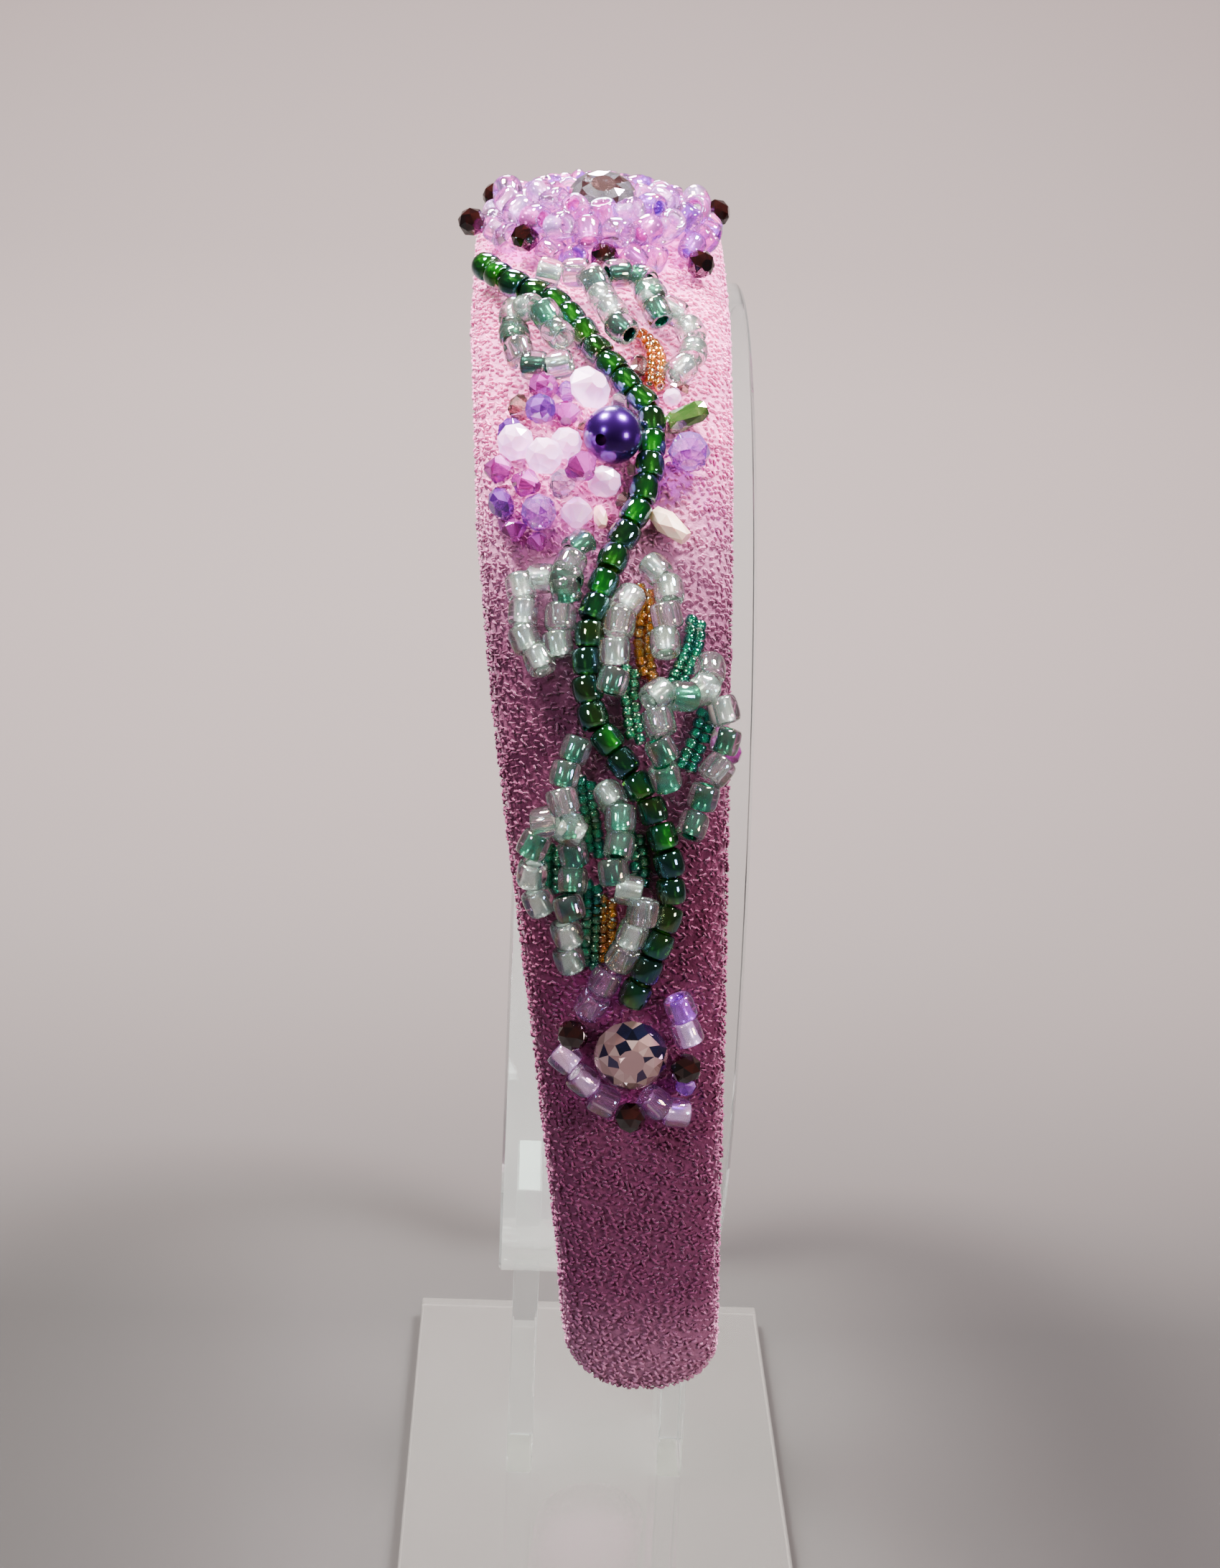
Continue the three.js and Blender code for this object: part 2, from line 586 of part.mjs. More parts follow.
// Stones of the side flower, the flower on the crown and the flower at the end of the stem
const STONES = [
  // name, cut, colour, across, along, lift, width, length, turn, tip
  ['opal_1', 'crystal', 'opal', -7.4, 59.8, 5.2, 5.8, 4.6, 20, 60],
  ['opal_2', 'crystal', 'opal', -16.5, 67.8, 5.6, 4.8, 4.4, 70, 50],
  ['opal_3', 'crystal', 'opal', -12.9, 70.8, 7.2, 4.8, 4.4, 30, 60],
  ['opal_4', 'crystal', 'opal', -10.2, 67.2, 4.0, 4.2, 3.8, 30, 60],
  ['opal_5', 'crystal', 'opal', -5.3, 72.0, 3.4, 4.2, 4.2, 40, 40],
  ['opal_6', 'crystal', 'opal', -8.6, 76.0, 2.8, 4.2, 3.8, 90, 10],
  ['fuchsia_bead', 'round', 'pink', -13.3, 57.6, 2.6, 3.8, 3.8, 20, 20],
  ['smoke_crystal', 'crystal', 'smoke', -16.2, 60.6, 2.4, 3.6, 3.4, 40, 30],
  ['rose_crystal', 'crystal', 'pink', -10.3, 61.7, 2.3, 3.8, 3.6, 90, 20],
  ['violet_bead', 'round', 'violet', -13.5, 62.6, 4.6, 4.0, 3.8, 30, 30],
  ['violet_crystal', 'crystal', 'violet', -17.3, 63.8, 2.2, 3.4, 3.2, 60, 30],
  ['magenta_crystal', 'crystal', 'pink', -18.4, 70.2, 3.6, 4.0, 3.6, 20, 20],
  ['mauve_crystal', 'crystal', 'pink', -8.3, 71.8, 6.6, 4.4, 4.2, 60, 20],
  ['grey_crystal', 'crystal', 'clear', -10.6, 72.4, 3.2, 3.8, 3.6, 30, 40],
  ['pink_crystal', 'crystal', 'pink', -15.0, 72.7, 4.1, 3.8, 3.6, 30, 20],
  ['violet_rondelle', 'crystal', 'violet', -18.0, 74.2, 2.2, 4.4, 2.8, 150, 10],
  ['clear_violet_crystal', 'crystal', 'lilac', -13.3, 76.2, 3.2, 4.8, 4.2, 20, 30],
  ['plum_crystal', 'crystal', 'pink', -16.3, 77.7, 1.9, 3.2, 3.0, 80, 10],
  ['lilac_round_bead', 'round', 'lilac', 5.3, 66.9, 3.2, 5.4, 4.8, 90, 10],
  ['green_tube_bead', 'tube', 'green', 5.0, 60.8, 2.0, 3.0, 5.4, -28, 8],
  ['cream_chip', 'chip', 'cream', 3.1, 76.7, 1.9, 3.0, 5.4, 42, 4],
  ['crown_garnet_1', 'round', 'garnet', -23.6, 23.0, 7.7, GARNET_DIAMETER, GARNET_LENGTH, 60, 10],
  ['crown_garnet_2', 'round', 'garnet', -20.6, 10.5, 3.8, GARNET_DIAMETER, GARNET_LENGTH, 20, 10],
  ['crown_garnet_3', 'round', 'garnet', -16.3, 28.6, 3.7, GARNET_DIAMETER, GARNET_LENGTH, 30, 40],
  ['crown_garnet_4', 'round', 'garnet', -5.7, 32.6, 3.0, GARNET_DIAMETER, GARNET_LENGTH, 70, 20],
  ['crown_garnet_5', 'round', 'garnet', 10.2, 10.6, 3.8, GARNET_DIAMETER, GARNET_LENGTH, 10, 10],
  ['crown_garnet_6', 'round', 'garnet', 7.2, 30.8, 2.6, GARNET_DIAMETER, GARNET_LENGTH, 60, 20],
  ['lower_garnet_1', 'round', 'garnet', -6.8, 139.8, 3.8, GARNET_DIAMETER, GARNET_LENGTH, 30, 30],
  ['lower_garnet_2', 'round', 'garnet', 0.7, 150.1, 4.4, GARNET_DIAMETER, GARNET_LENGTH, 20, 30],
  ['lower_garnet_3', 'round', 'garnet', 7.4, 143.8, 3.8, GARNET_DIAMETER, GARNET_LENGTH, 60, 30],
];

const CUTS = {
  crystal: (width, length) => crystal(width, length),
  round: (width, length) => crystal(width, length, ROUND_BEAD_SIDES),
  tube: (width, length) => barrel(width, length, 0.86, ROUND_BEAD_SIDES),
  chip: (width, length) => barrel(width, length, 0.7, CRYSTAL_SIDES),
};

// The drilled pearl beside the stem
const PEARL = { across: -4.4, along: 66.2, lift: 4.6, turn: 141, tip: 52 };

// Clear stone in the middle of the flower on the crown
const CROWN_STONE = { across: -6, along: 18, lift: 5.2, width: 9.4, height: 4.6 };
// Rings of beads of the flower on the crown
const CROWN_RINGS = [
  { radius: 6.9, lift: 3.8 },
  { radius: 10.8, lift: 3.4 },
];
// Arcs of beads outside the rings, between the garnets, in degrees clockwise from across
const CROWN_ARCS = [
  { radius: 14.7, lift: 2.5, from: -6, to: 34 },
  { radius: 14.7, lift: 2.5, from: 63, to: 74 },
  { radius: 14.7, lift: 2.5, from: 105, to: 117 },
  { radius: 14.7, lift: 2.5, from: 149, to: 193 },
  { radius: 14.7, lift: 2.5, from: 221, to: 326 },
];
// Threads from the middle out to the arcs
const CROWN_SPOKES = [17, 68, 111, 170, 270];

// Rose stone and beads of the flower at the end of the stem
const LOWER_STONE = { across: 0.5, along: 142.6, lift: 2.6, width: 9.2, height: 4.6 };
// Short strings of beads round the rose stone, and the thread that joins them under the garnets
const LOWER_STRINGS = [
  [[-3.2, 133.2, 2.3], [-4.6, 136.2, 2.3]],
  [[-7.6, 143.6, 2.3], [-5.3, 146.4, 2.3], [-2.6, 149.0, 2.3]],
  [[3.8, 149.0, 2.3], [6.6, 150.4, 2.3]],
  [[7.4, 139.6, 2.3], [6.4, 136.4, 2.3]],
];
const LOWER_THREADS = [
  [[-4.6, 136.2, 1.2], [-6.6, 140, 0.9], [-7.6, 143.6, 1.2]],
  [[-2.6, 149.0, 1.2], [0.6, 150, 0.9], [3.8, 149.0, 1.2]],
  [[6.6, 150.4, 1.2], [7.6, 146.0, 0.9], [7.4, 139.6, 1.2]],
];

const group = new THREE.Group();
const stand = new THREE.Group();
const headband = new THREE.Group();
group.add(stand, headband);
headband.position.x = LOOP_OFFSET_X;

const clearAcrylic = material('acrylic', 0.05);
const postHeight = LOOP_FLOOR_Z - STRIP_THICKNESS / 2 - BASE_THICKNESS;
const postX = (POST_OUTER_SPACING - POST_THICKNESS) / 2;
stand.add(named('acrylic_base', plate(BASE_WIDTH, BASE_DEPTH, BASE_THICKNESS, 0, 0, 0), clearAcrylic));
for (const [name, x] of [['acrylic_post_left', -postX], ['acrylic_post_right', postX]]) {
  const geometry = plate(POST_THICKNESS, POST_DEPTH, postHeight, x, 0, BASE_THICKNESS);
  stand.add(named(name, geometry, clearAcrylic));
}
headband.add(named('acrylic_arch', acrylicArch(), clearAcrylic));
headband.add(named('padded_band', paddedBand(), material('cloth', 0.95)));

headband.add(named('vine_stem', beadString([STEM]), material('stem')));
for (const [name, strings] of Object.entries(LEAVES)) {
  headband.add(named(name, beadString(strings), material('leaf')));
}
for (const [name, { colour, rows }] of Object.entries(SEED_STRANDS)) {
  headband.add(named(name, seedStrand(rows), material(colour)));
}
for (const [name, cut, colour, x, along, lift, width, length, turn, tip] of STONES) {
  const stone = placed(CUTS[cut](width, length), x, along, lift, turn, tip);
  headband.add(named(name, stone, material(colour)));
}
const pearl = placed(drilledPearl(), PEARL.across, PEARL.along, PEARL.lift, PEARL.turn, PEARL.tip);
headband.add(named('pearl', pearl, material('pearl')));

// A place of the flower on the crown: its distance from the stone, its bearing and its lift
function crownRow(radius, degrees, lift) {
  const turn = THREE.MathUtils.degToRad(degrees);
  return [CROWN_STONE.across + radius * Math.cos(turn), CROWN_STONE.along + radius * Math.sin(turn), lift];
}

// The field of beads of the flower on the crown, round its stone and sewn together
function crownFlower() {
  const CURVE_POINTS = 24;
  const ARC_STEP = 12;
  const pieces = CROWN_RINGS.map(({ radius, lift }) => {
    const points = [];
    for (let i = 0; i < CURVE_POINTS; i++) {
      points.push(onBand(...crownRow(radius, (i / CURVE_POINTS) * 360, lift)));
    }
    return beadRing(new THREE.CatmullRomCurve3(points, true));
  });
  for (const { radius, lift, from, to } of CROWN_ARCS) {
    const steps = Math.max(1, Math.round((to - from) / ARC_STEP));
    const rows = [];
    for (let i = 0; i <= steps; i++) {
      rows.push(crownRow(radius, from + ((to - from) * i) / steps, lift));
    }
    pieces.push(beadSkin(curveThrough(rows)));
  }
  const inner = CROWN_RINGS[0];
  const outer = CROWN_ARCS[0];
  for (const bearing of CROWN_SPOKES) {
    const rows = [crownRow(inner.radius, bearing, inner.lift), crownRow(outer.radius, bearing, outer.lift)];
    pieces.push(tube(rows, THREAD_DIAMETER, THREAD_SIDES));
  }
  return fuse(pieces);
}

// The beads of the flower at the end of the stem, sewn together
function lowerFlower() {
  const strings = LOWER_STRINGS.map((rows) => beadSkin(curveThrough(rows)));
  const threads = LOWER_THREADS.map((rows) => tube(rows, THREAD_DIAMETER, THREAD_SIDES));
  return fuse(strings.concat(threads));
}

// A stone in the middle of a flower, its table facing out of the band
function flowerStone({ across, along, lift, width, height }) {
  return placed(setStone(width, height, SET_STONE_SIDES), across, along, lift, 0, 90);
}

headband.add(named('crown_flower_beads', crownFlower(), material('lilac')));
headband.add(named('lower_flower_beads', lowerFlower(), material('lilac')));
headband.add(named('crown_stone', flowerStone(CROWN_STONE), material('clear')));
headband.add(named('lower_stone', flowerStone(LOWER_STONE), material('rose')));

export default group;
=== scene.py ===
# %% [markdown]
# # A jeweled padded headband on a clear acrylic stand
#
# The headband is a stuffed band of looped velour. A vine of glass beads, flowers and cut
# crystals are sewn down one leg. A loop of clear acrylic strip wears it, on two posts and a
# flat plate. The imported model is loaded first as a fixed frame, and each soft, beaded or cut
# piece is then made again with the detail that the real one shows.

# %% Load the fixed frame
import math
import random

import bmesh
import bpy
from mathutils import Matrix, Vector, noise


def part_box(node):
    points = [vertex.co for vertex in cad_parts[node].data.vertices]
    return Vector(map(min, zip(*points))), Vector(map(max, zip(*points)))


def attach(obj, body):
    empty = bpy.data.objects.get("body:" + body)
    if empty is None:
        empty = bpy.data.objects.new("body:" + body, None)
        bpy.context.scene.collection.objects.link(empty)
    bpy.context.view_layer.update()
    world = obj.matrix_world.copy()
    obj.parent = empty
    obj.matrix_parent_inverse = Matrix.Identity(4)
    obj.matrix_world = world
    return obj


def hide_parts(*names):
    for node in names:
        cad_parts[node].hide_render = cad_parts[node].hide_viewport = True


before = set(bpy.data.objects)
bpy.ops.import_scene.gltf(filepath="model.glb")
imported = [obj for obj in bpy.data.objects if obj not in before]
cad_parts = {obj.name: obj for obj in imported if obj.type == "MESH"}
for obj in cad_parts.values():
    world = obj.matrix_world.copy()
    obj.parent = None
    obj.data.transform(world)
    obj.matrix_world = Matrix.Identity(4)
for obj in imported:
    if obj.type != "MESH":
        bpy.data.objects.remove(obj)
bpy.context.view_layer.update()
print("nodes in the frame:", len(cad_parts))

# %% [markdown]
# ## Small tools
#
# Sizes are kept in millimetres, as a maker would measure them, and turned to metres where a
# mesh is made. Colours are read as sRGB hex values, the way a picker shows them, and turned
# to the linear values that shaders use.

# %% Units, colours and nodes
MM = 0.001
# Places of sockets that share a name with others: those of a colour Mix and of a Random Value
MIX_FACTOR, MIX_A, MIX_B, MIX_RESULT = 0, 6, 7, 2
VECTOR_MIN, VECTOR_MAX, VECTOR_VALUE = 0, 1, 0
FLOAT_MIN, FLOAT_MAX, FLOAT_VALUE = 2, 3, 1


def linear(hex_colour):
    """Turns an sRGB hex colour into linear red, green, blue and alpha."""
    values = []
    for start in (0, 2, 4):
        value = int(hex_colour[start:start + 2], 16) / 255
        values.append(value / 12.92 if value <= 0.04045 else ((value + 0.055) / 1.055) ** 2.4)
    return (*values, 1.0)


def add_node(tree, kind, inputs=None, **settings):
    """Adds a node, sets its properties, and gives each input its value or the socket it hangs on."""
    node = tree.nodes.new(kind)
    for key, value in settings.items():
        setattr(node, key, value)
    for key, value in (inputs or {}).items():
        if isinstance(value, bpy.types.NodeSocket):
            tree.links.new(value, node.inputs[key])
        else:
            node.inputs[key].default_value = value
    return node


def new_material(name, values):
    """A material with a Principled shader whose sockets are set. Returns it, its tree and shader."""
    material = bpy.data.materials.new(name)
    material.use_nodes = True
    shader = material.node_tree.nodes["Principled BSDF"]
    for key, value in values.items():
        shader.inputs[key].default_value = value
    return material, material.node_tree, shader


def fill_ramp(node, stops):
    """Gives a colour ramp its stops, each a place from 0 to 1 and a shade."""
    elements = node.color_ramp.elements
    while len(elements) < len(stops):
        elements.new(0.5)
    for element, (spot, shade) in zip(elements, stops):
        element.position = spot
        element.color = linear(shade)


def let_lamps_through(material, tint):
    """Lamps shine through the glass and take up its tint, so what lies behind it is lit."""
    tree = material.node_tree
    path = add_node(tree, "ShaderNodeLightPath")
    film = add_node(tree, "ShaderNodeBsdfTransparent", {"Color": linear(tint)})
    mix = add_node(tree, "ShaderNodeMixShader", {
        0: path.outputs["Is Shadow Ray"], 1: tree.nodes["Principled BSDF"].outputs[0], 2: film.outputs[0],
    })
    tree.links.new(mix.outputs[0], tree.nodes["Material Output"].inputs["Surface"])


def add_object(name, mesh, *materials):
    """Puts a mesh in the scene as an object at the origin."""
    made = bpy.data.objects.new(name, mesh)
    bpy.context.scene.collection.objects.link(made)
    if materials:
        mesh.materials.clear()
        for material in materials:
            mesh.materials.append(material)
    return made


def mesh_from(bm, name, smooth=True):
    """Turns a bmesh into a mesh and frees it."""
    mesh = bpy.data.meshes.new(name)
    bm.to_mesh(mesh)
    bm.free()
    for polygon in mesh.polygons:
        polygon.use_smooth = smooth
    return mesh


def bridge(bm, rings, closed):
    """Joins each ring of corners to the next with faces, and the last to the first if closed."""
    following = rings[1:] + rings[:1] if closed else rings[1:]
    for ring, ahead in zip(rings, following):
        for j in range(len(ring)):
            k = (j + 1) % len(ring)
            bm.faces.new((ring[j], ring[k], ahead[k], ahead[j]))


def settle(piece, node=None):
    """Makes a piece ride on the body and stand for its node, where it has one."""
    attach(piece, "root")
    if node:
        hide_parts(node)


# %% [markdown]
# ## The camera
#
# The camera stood a little left of the headband and above it, and looked down at it. Its
# place, pitch, turn and roll were solved from the straight edges of the stand. The lens
# is long, so near and far edges of the plate stay almost parallel.

# %% Make the camera
IMAGE_LONG_SIDE = 2184
FOCAL_PIXELS = 4000
SENSOR = 36.0
CAMERA_PLACE = Vector((-15.7, -418.2, 242.9)) * MM
CAMERA_PITCH = math.radians(16.79)
CAMERA_TURN = math.radians(1.87)
CAMERA_ROLL = math.radians(2.58)


def camera_axes():
    """The camera's right, up and back directions."""
    ahead = Vector((
        math.sin(CAMERA_TURN) * math.cos(CAMERA_PITCH),
        math.cos(CAMERA_TURN) * math.cos(CAMERA_PITCH),
        -math.sin(CAMERA_PITCH),
    ))
    level = ahead.cross(Vector((0, 0, 1))).normalized()
    upright = level.cross(ahead)
    right = level * math.cos(CAMERA_ROLL) + upright * math.sin(CAMERA_ROLL)
    up = upright * math.cos(CAMERA_ROLL) - level * math.sin(CAMERA_ROLL)
    return right, up, -ahead


camera = bpy.data.objects.new("camera", bpy.data.cameras.new("camera"))
bpy.context.scene.collection.objects.link(camera)
camera.data.sensor_width = SENSOR
camera.data.lens = FOCAL_PIXELS * SENSOR / IMAGE_LONG_SIDE
camera.data.clip_start = 0.01
camera.matrix_world = Matrix.Translation(CAMERA_PLACE) @ Matrix(camera_axes()).transposed().to_4x4()
bpy.context.scene.camera = camera
print("lens in mm:", round(camera.data.lens, 2))

# %% [markdown]
# ## The line of the band
#
# The strip's upper half is half an ellipse, and the band's legs leave it on a long gentle
# bend. Everything sewn on is placed on this line: millimetres across from the middle of
# the strip, millimetres down the leg from the crown, and a lift over the cloth.

# %% Follow the band's outer line
STRIP_SHIFT = -1.3
STRIP_WIDTH = 30.0
STRIP_THICKNESS = 3.0
LOOP_HALF_SPAN = 74.0
LOOP_RISE = 80.0
LOOP_EQUATOR = 111.0
LOOP_FLOOR = 51.5
LOOP_FLOOR_HALF = 12.0
LOOP_CORNER_POWER = 2.2
FIT_GAP = 0.3
# Height of the band's underside over the strip's middle line
UNDERSIDE = STRIP_THICKNESS / 2 + FIT_GAP
BAND_THICKNESS_CROWN = 11.0
BAND_THICKNESS_TIP = 8.0
LEG_BEND_RADIUS = 190.0
TIP_HEIGHT = 57.0
SECTION_POWER = 2.7
# Distance from the crown, middle and width of the band there
BAND_ROWS = [
    (0, -6.0, 34.0), (40, -5.8, 33.8), (75, -4.8, 31.8), (100, -3.4, 29.0),
    (125, -1.2, 25.8), (150, 1.0, 23.0), (175, 3.1, 20.6), (200, 5.0, 19.6),
]


def arch_point(angle):
    """Middle line of the strip's upper half: its place and outward direction, in Y and Z."""
    place = Vector((-LOOP_HALF_SPAN * math.sin(angle), LOOP_EQUATOR + LOOP_RISE * math.cos(angle)))
    out = Vector((place.x / LOOP_HALF_SPAN ** 2, (place.y - LOOP_EQUATOR) / LOOP_RISE ** 2))
    return place, out.normalized()


def band_line(arch_steps=120, leg_steps=60):
    """Samples of the near leg: distance along its outer line, strip place, outward, thickness."""
    samples = [arch_point(math.pi / 2 * i / arch_steps) for i in range(arch_steps + 1)]
    sweep = math.asin((LOOP_EQUATOR - TIP_HEIGHT) / LEG_BEND_RADIUS)
    for i in range(1, leg_steps + 1):
        angle = sweep * i / leg_steps
        side = -LOOP_HALF_SPAN + LEG_BEND_RADIUS * (1 - math.cos(angle))
        height = LOOP_EQUATOR - LEG_BEND_RADIUS * math.sin(angle)
        samples.append((Vector((side, height)), Vector((-math.cos(angle), -math.sin(angle)))))
    runs = [0.0]
    for (place, _), (before, _) in zip(samples[1:], samples):
        runs.append(runs[-1] + (place - before).length)
    line = []
    along = 0.0
    top = None
    for (place, out), run in zip(samples, runs):
        thickness = BAND_THICKNESS_CROWN + (BAND_THICKNESS_TIP - BAND_THICKNESS_CROWN) * run / runs[-1]
        reach = place + out * (UNDERSIDE + thickness)
        along += (reach - top).length if top else 0.0
        line.append((along, place, out, thickness))
        top = reach
    return line


LINE = band_line()
LINE_END = LINE[-1][0]


def stretch_at(rows, distance):
    """The rows before and after a distance from the crown, and the share of the way between."""
    index = 1
    while index < len(rows) - 1 and rows[index][0] < distance:
        index += 1
    before, after = rows[index - 1:index + 1]
    return before, after, (distance - before[0]) / (after[0] - before[0])


def line_at(along):
    """Strip place, outward direction and thickness at a distance; the far leg's are below 0."""
    before, after, share = stretch_at(LINE, min(abs(along), LINE_END))
    (_, place_a, out_a, thick_a), (_, place_b, out_b, thick_b) = before, after
    place = place_a.lerp(place_b, share)
    out = out_a.lerp(out_b, share).normalized()
    if along < 0:
        place.x, out.x = -place.x, -out.x
    return place, out, thick_a + (thick_b - thick_a) * share


def band_row(along):
    """Middle and width of the band at a distance from the crown."""
    (_, middle_a, width_a), (_, middle_b, width_b), share = stretch_at(BAND_ROWS, abs(along))
    return middle_a + (middle_b - middle_a) * share, width_a + (width_b - width_a) * share


def in_metres(across, place, out, height):
    """World place of a point at a height out from the strip's middle line."""
    spot = place + out * height
    return Vector((across + STRIP_SHIFT, spot.x, spot.y)) * MM


def on_band(across, along, lift):
    """World place of a point lifted over the domed cloth."""
    place, out, thickness = line_at(along)
    middle, width = band_row(along)
    side = min(1.0, abs(across - middle) / (width / 2))
    dome = (1 - side ** SECTION_POWER) ** (1 / SECTION_POWER)
    return in_metres(across, place, out, UNDERSIDE + thickness / 2 * (1 + dome) + lift)


print("outer line from crown to tip, mm:", round(LINE_END, 1))

# %% [markdown]
# ## The clear stand
#
# Cast acrylic is sawn, heated and bent, and its edges are polished, so it is clear inside
# and bright along each edge. A small bevel catches that light. The loop is swept through
# many more steps than the frame has, so its reflections bend smoothly.

# %% Polished acrylic
def polished_acrylic(name, clearness, tint):
    """Clear acrylic. What it doesn't let through is haze that scatters light."""
    material, tree, shader = new_material(name, {
        "Base Color": linear(tint), "Transmission Weight": clearness, "Roughness": 0.02, "IOR": 1.49,
    })
    place = add_node(tree, "ShaderNodeTexCoord").outputs["Object"]
    # Faint waves of the cast sheet, about 30 mm apart
    waves = add_node(tree, "ShaderNodeTexNoise", {"Scale": 34.0, "Detail": 1.0, "Vector": place})
    bump = add_node(tree, "ShaderNodeBump", {
        "Strength": 0.05, "Distance": 0.0006, "Height": waves.outputs["Fac"],
    })
    tree.links.new(bump.outputs["Normal"], shader.inputs["Normal"])
    let_lamps_through(material, tint)
    return material


clear_acrylic = polished_acrylic("clear cast acrylic", 0.97, "F4F8F6")
# The plate is hazier than the loop: its grey haze is partly the acrylic's and partly a painted reflection
# of pale light from below
plate_acrylic = polished_acrylic("thick acrylic plate", 0.85, "B4B0AC")

# %% Plate, posts and loop
EDGE_BEVEL = 0.35
LOOP_STEPS = 72


def acrylic_block(name, node, material):
    """A bevelled copy of a plain acrylic block of the frame."""
    low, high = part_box(node)
    bm = bmesh.new()
    bmesh.ops.create_cube(bm, size=1.0)
    for vertex in bm.verts:
        vertex.co = Vector([(low[i] + high[i]) / 2 + vertex.co[i] * (high[i] - low[i]) for i in range(3)])
    bmesh.ops.bevel(bm, geom=bm.edges[:], offset=EDGE_BEVEL * MM, segments=2, affect="EDGES",
                    profile=0.5)
    return add_object(name, mesh_from(bm, name, smooth=False), material)


def loop_line():
    """Middle line of the whole strip in Y and Z, from the crown down the near side and round."""
    half = [arch_point(math.pi / 2 * i / LOOP_STEPS)[0] for i in range(LOOP_STEPS + 1)]
    for i in range(1, LOOP_STEPS + 1):
        turn = math.pi / 2 * i / LOOP_STEPS
        reach = (LOOP_HALF_SPAN - LOOP_FLOOR_HALF) * max(math.cos(turn), 0.0) ** (2 / LOOP_CORNER_POWER)
        drop = (LOOP_EQUATOR - LOOP_FLOOR) * math.sin(turn) ** (2 / LOOP_CORNER_POWER)
        half.append(Vector((-LOOP_FLOOR_HALF - reach, LOOP_EQUATOR - drop)))
    return half + [Vector((-point.x, point.y)) for point in reversed(half[1:])]


def acrylic_loop():
    """The bent strip, with its four long edges bevelled."""
    line = loop_line()
    side = STRIP_WIDTH / 2
    thick = STRIP_THICKNESS / 2
    soft = EDGE_BEVEL
    section = [
        (-side, -thick + soft), (-side, thick - soft), (-side + soft, thick), (side - soft, thick),
        (side, thick - soft), (side, -thick + soft), (side - soft, -thick), (-side + soft, -thick),
    ]
    bm = bmesh.new()
    rings = []
    for i, point in enumerate(line):
        run = (line[(i + 1) % len(line)] - line[i - 1]).normalized()
        out = Vector((-run.y, run.x))
        rings.append([bm.verts.new(in_metres(across, point, out, height)) for across, height in section])
    bridge(bm, rings, closed=True)
    bmesh.ops.recalc_face_normals(bm, faces=bm.faces[:])
    loop = add_object("acrylic_loop", mesh_from(bm, "acrylic_loop"), clear_acrylic)
    loop.data.set_sharp_from_angle(angle=math.radians(30))
    return loop


stand = {
    "acrylic_base": acrylic_block("acrylic_plate", "acrylic_base", plate_acrylic),
    "acrylic_post_left": acrylic_block("acrylic_left_post", "acrylic_post_left", clear_acrylic),
    "acrylic_post_right": acrylic_block("acrylic_right_post", "acrylic_post_right", clear_acrylic),
    "acrylic_arch": acrylic_loop(),
}
for node_name, piece in stand.items():
    settle(piece, node_name)
    print(piece.name, [round(v * 1000, 1) for v in piece.dimensions])

# %% [markdown]
# ## The velour band
#
# The cloth is a knit with tiny cut and curled loops, pulled tight over foam. Its light and
# shade are painted into its colour by height: pale pink on the crown, where the light falls,
# plum where the leg stands upright in shade, and paler again near the tip, as painted light
# from below. The ground under the loops is painted darker, as shade deep between them. The
# body of the band is one closed skin; its loops come next.

# %% Velour
BAND_STEPS = 170
CAP_STEPS = 8
SECTION_POINTS = 56
TIP_ROUNDING = 9.0
# The tip narrows and flattens as powers of a cosine, up to this share of a half turn
TIP_TURN = 0.46
TIP_NARROWING = 0.8
TIP_FLATTENING = 0.45
# Unevenness of the stuffing in millimetres, and how often it changes in a metre
SOFTNESS = 0.35
SOFTNESS_SCALE = 90
# Height in metres where the ramp of painted light and shade ends, and shares of it with their shades
PAINTED_LIGHT_TOP = 0.2
CLOTH_PAINTED_LIGHT = [
    (0.30, "D08CAE"), (0.36, "985078"), (0.62, "7A3456"), (0.78, "723858"), (0.84, "C47CA4"),
    (0.90, "FF92CE"),
]


def velour(name, low, high):
    """Looped velour with its light and shade painted in by height. Each tuft has a share, low to high, of
    the shade.
    """
    material, tree, shader = new_material(name, {
        "Roughness": 0.95, "Specular IOR Level": 0.2, "Sheen Weight": 0.45, "Sheen Roughness": 0.4,
        "Sheen Tint": linear("F6C9E2"),
    })
    place = add_node(tree, "ShaderNodeTexCoord").outputs["Object"]
    height = add_node(tree, "ShaderNodeSeparateXYZ", {"Vector": place}).outputs["Z"]
    share = add_node(tree, "ShaderNodeMath", {0: height, 1: 1 / PAINTED_LIGHT_TOP}, operation="MULTIPLY")
    # Painted light and shade: pale where the crown faces the light, plum down the upright leg, paler near
    # the tip
    fade = add_node(tree, "ShaderNodeValToRGB", {"Fac": share.outputs["Value"]})
    fill_ramp(fade, CLOTH_PAINTED_LIGHT)
    # Tufts are dyed unevenly, about one in every millimetre
    tufts = add_node(tree, "ShaderNodeTexNoise", {"Scale": 1100.0, "Detail": 2.0, "Vector": place})
    shade = add_node(tree, "ShaderNodeMapRange", {
        "From Min": 0.3, "From Max": 0.7, "To Min": low, "To Max": high, "Value": tufts.outputs["Fac"],
    })
    tint = add_node(tree, "ShaderNodeVectorMath", {
        0: fade.outputs["Color"], "Scale": shade.outputs["Result"],
    }, operation="SCALE")
    tree.links.new(tint.outputs["Vector"], shader.inputs["Base Color"])
    bump = add_node(tree, "ShaderNodeBump", {
        "Strength": 0.8, "Distance": 0.0006, "Height": tufts.outputs["Fac"],
    })
    tree.links.new(bump.outputs["Normal"], shader.inputs["Normal"])
    return material


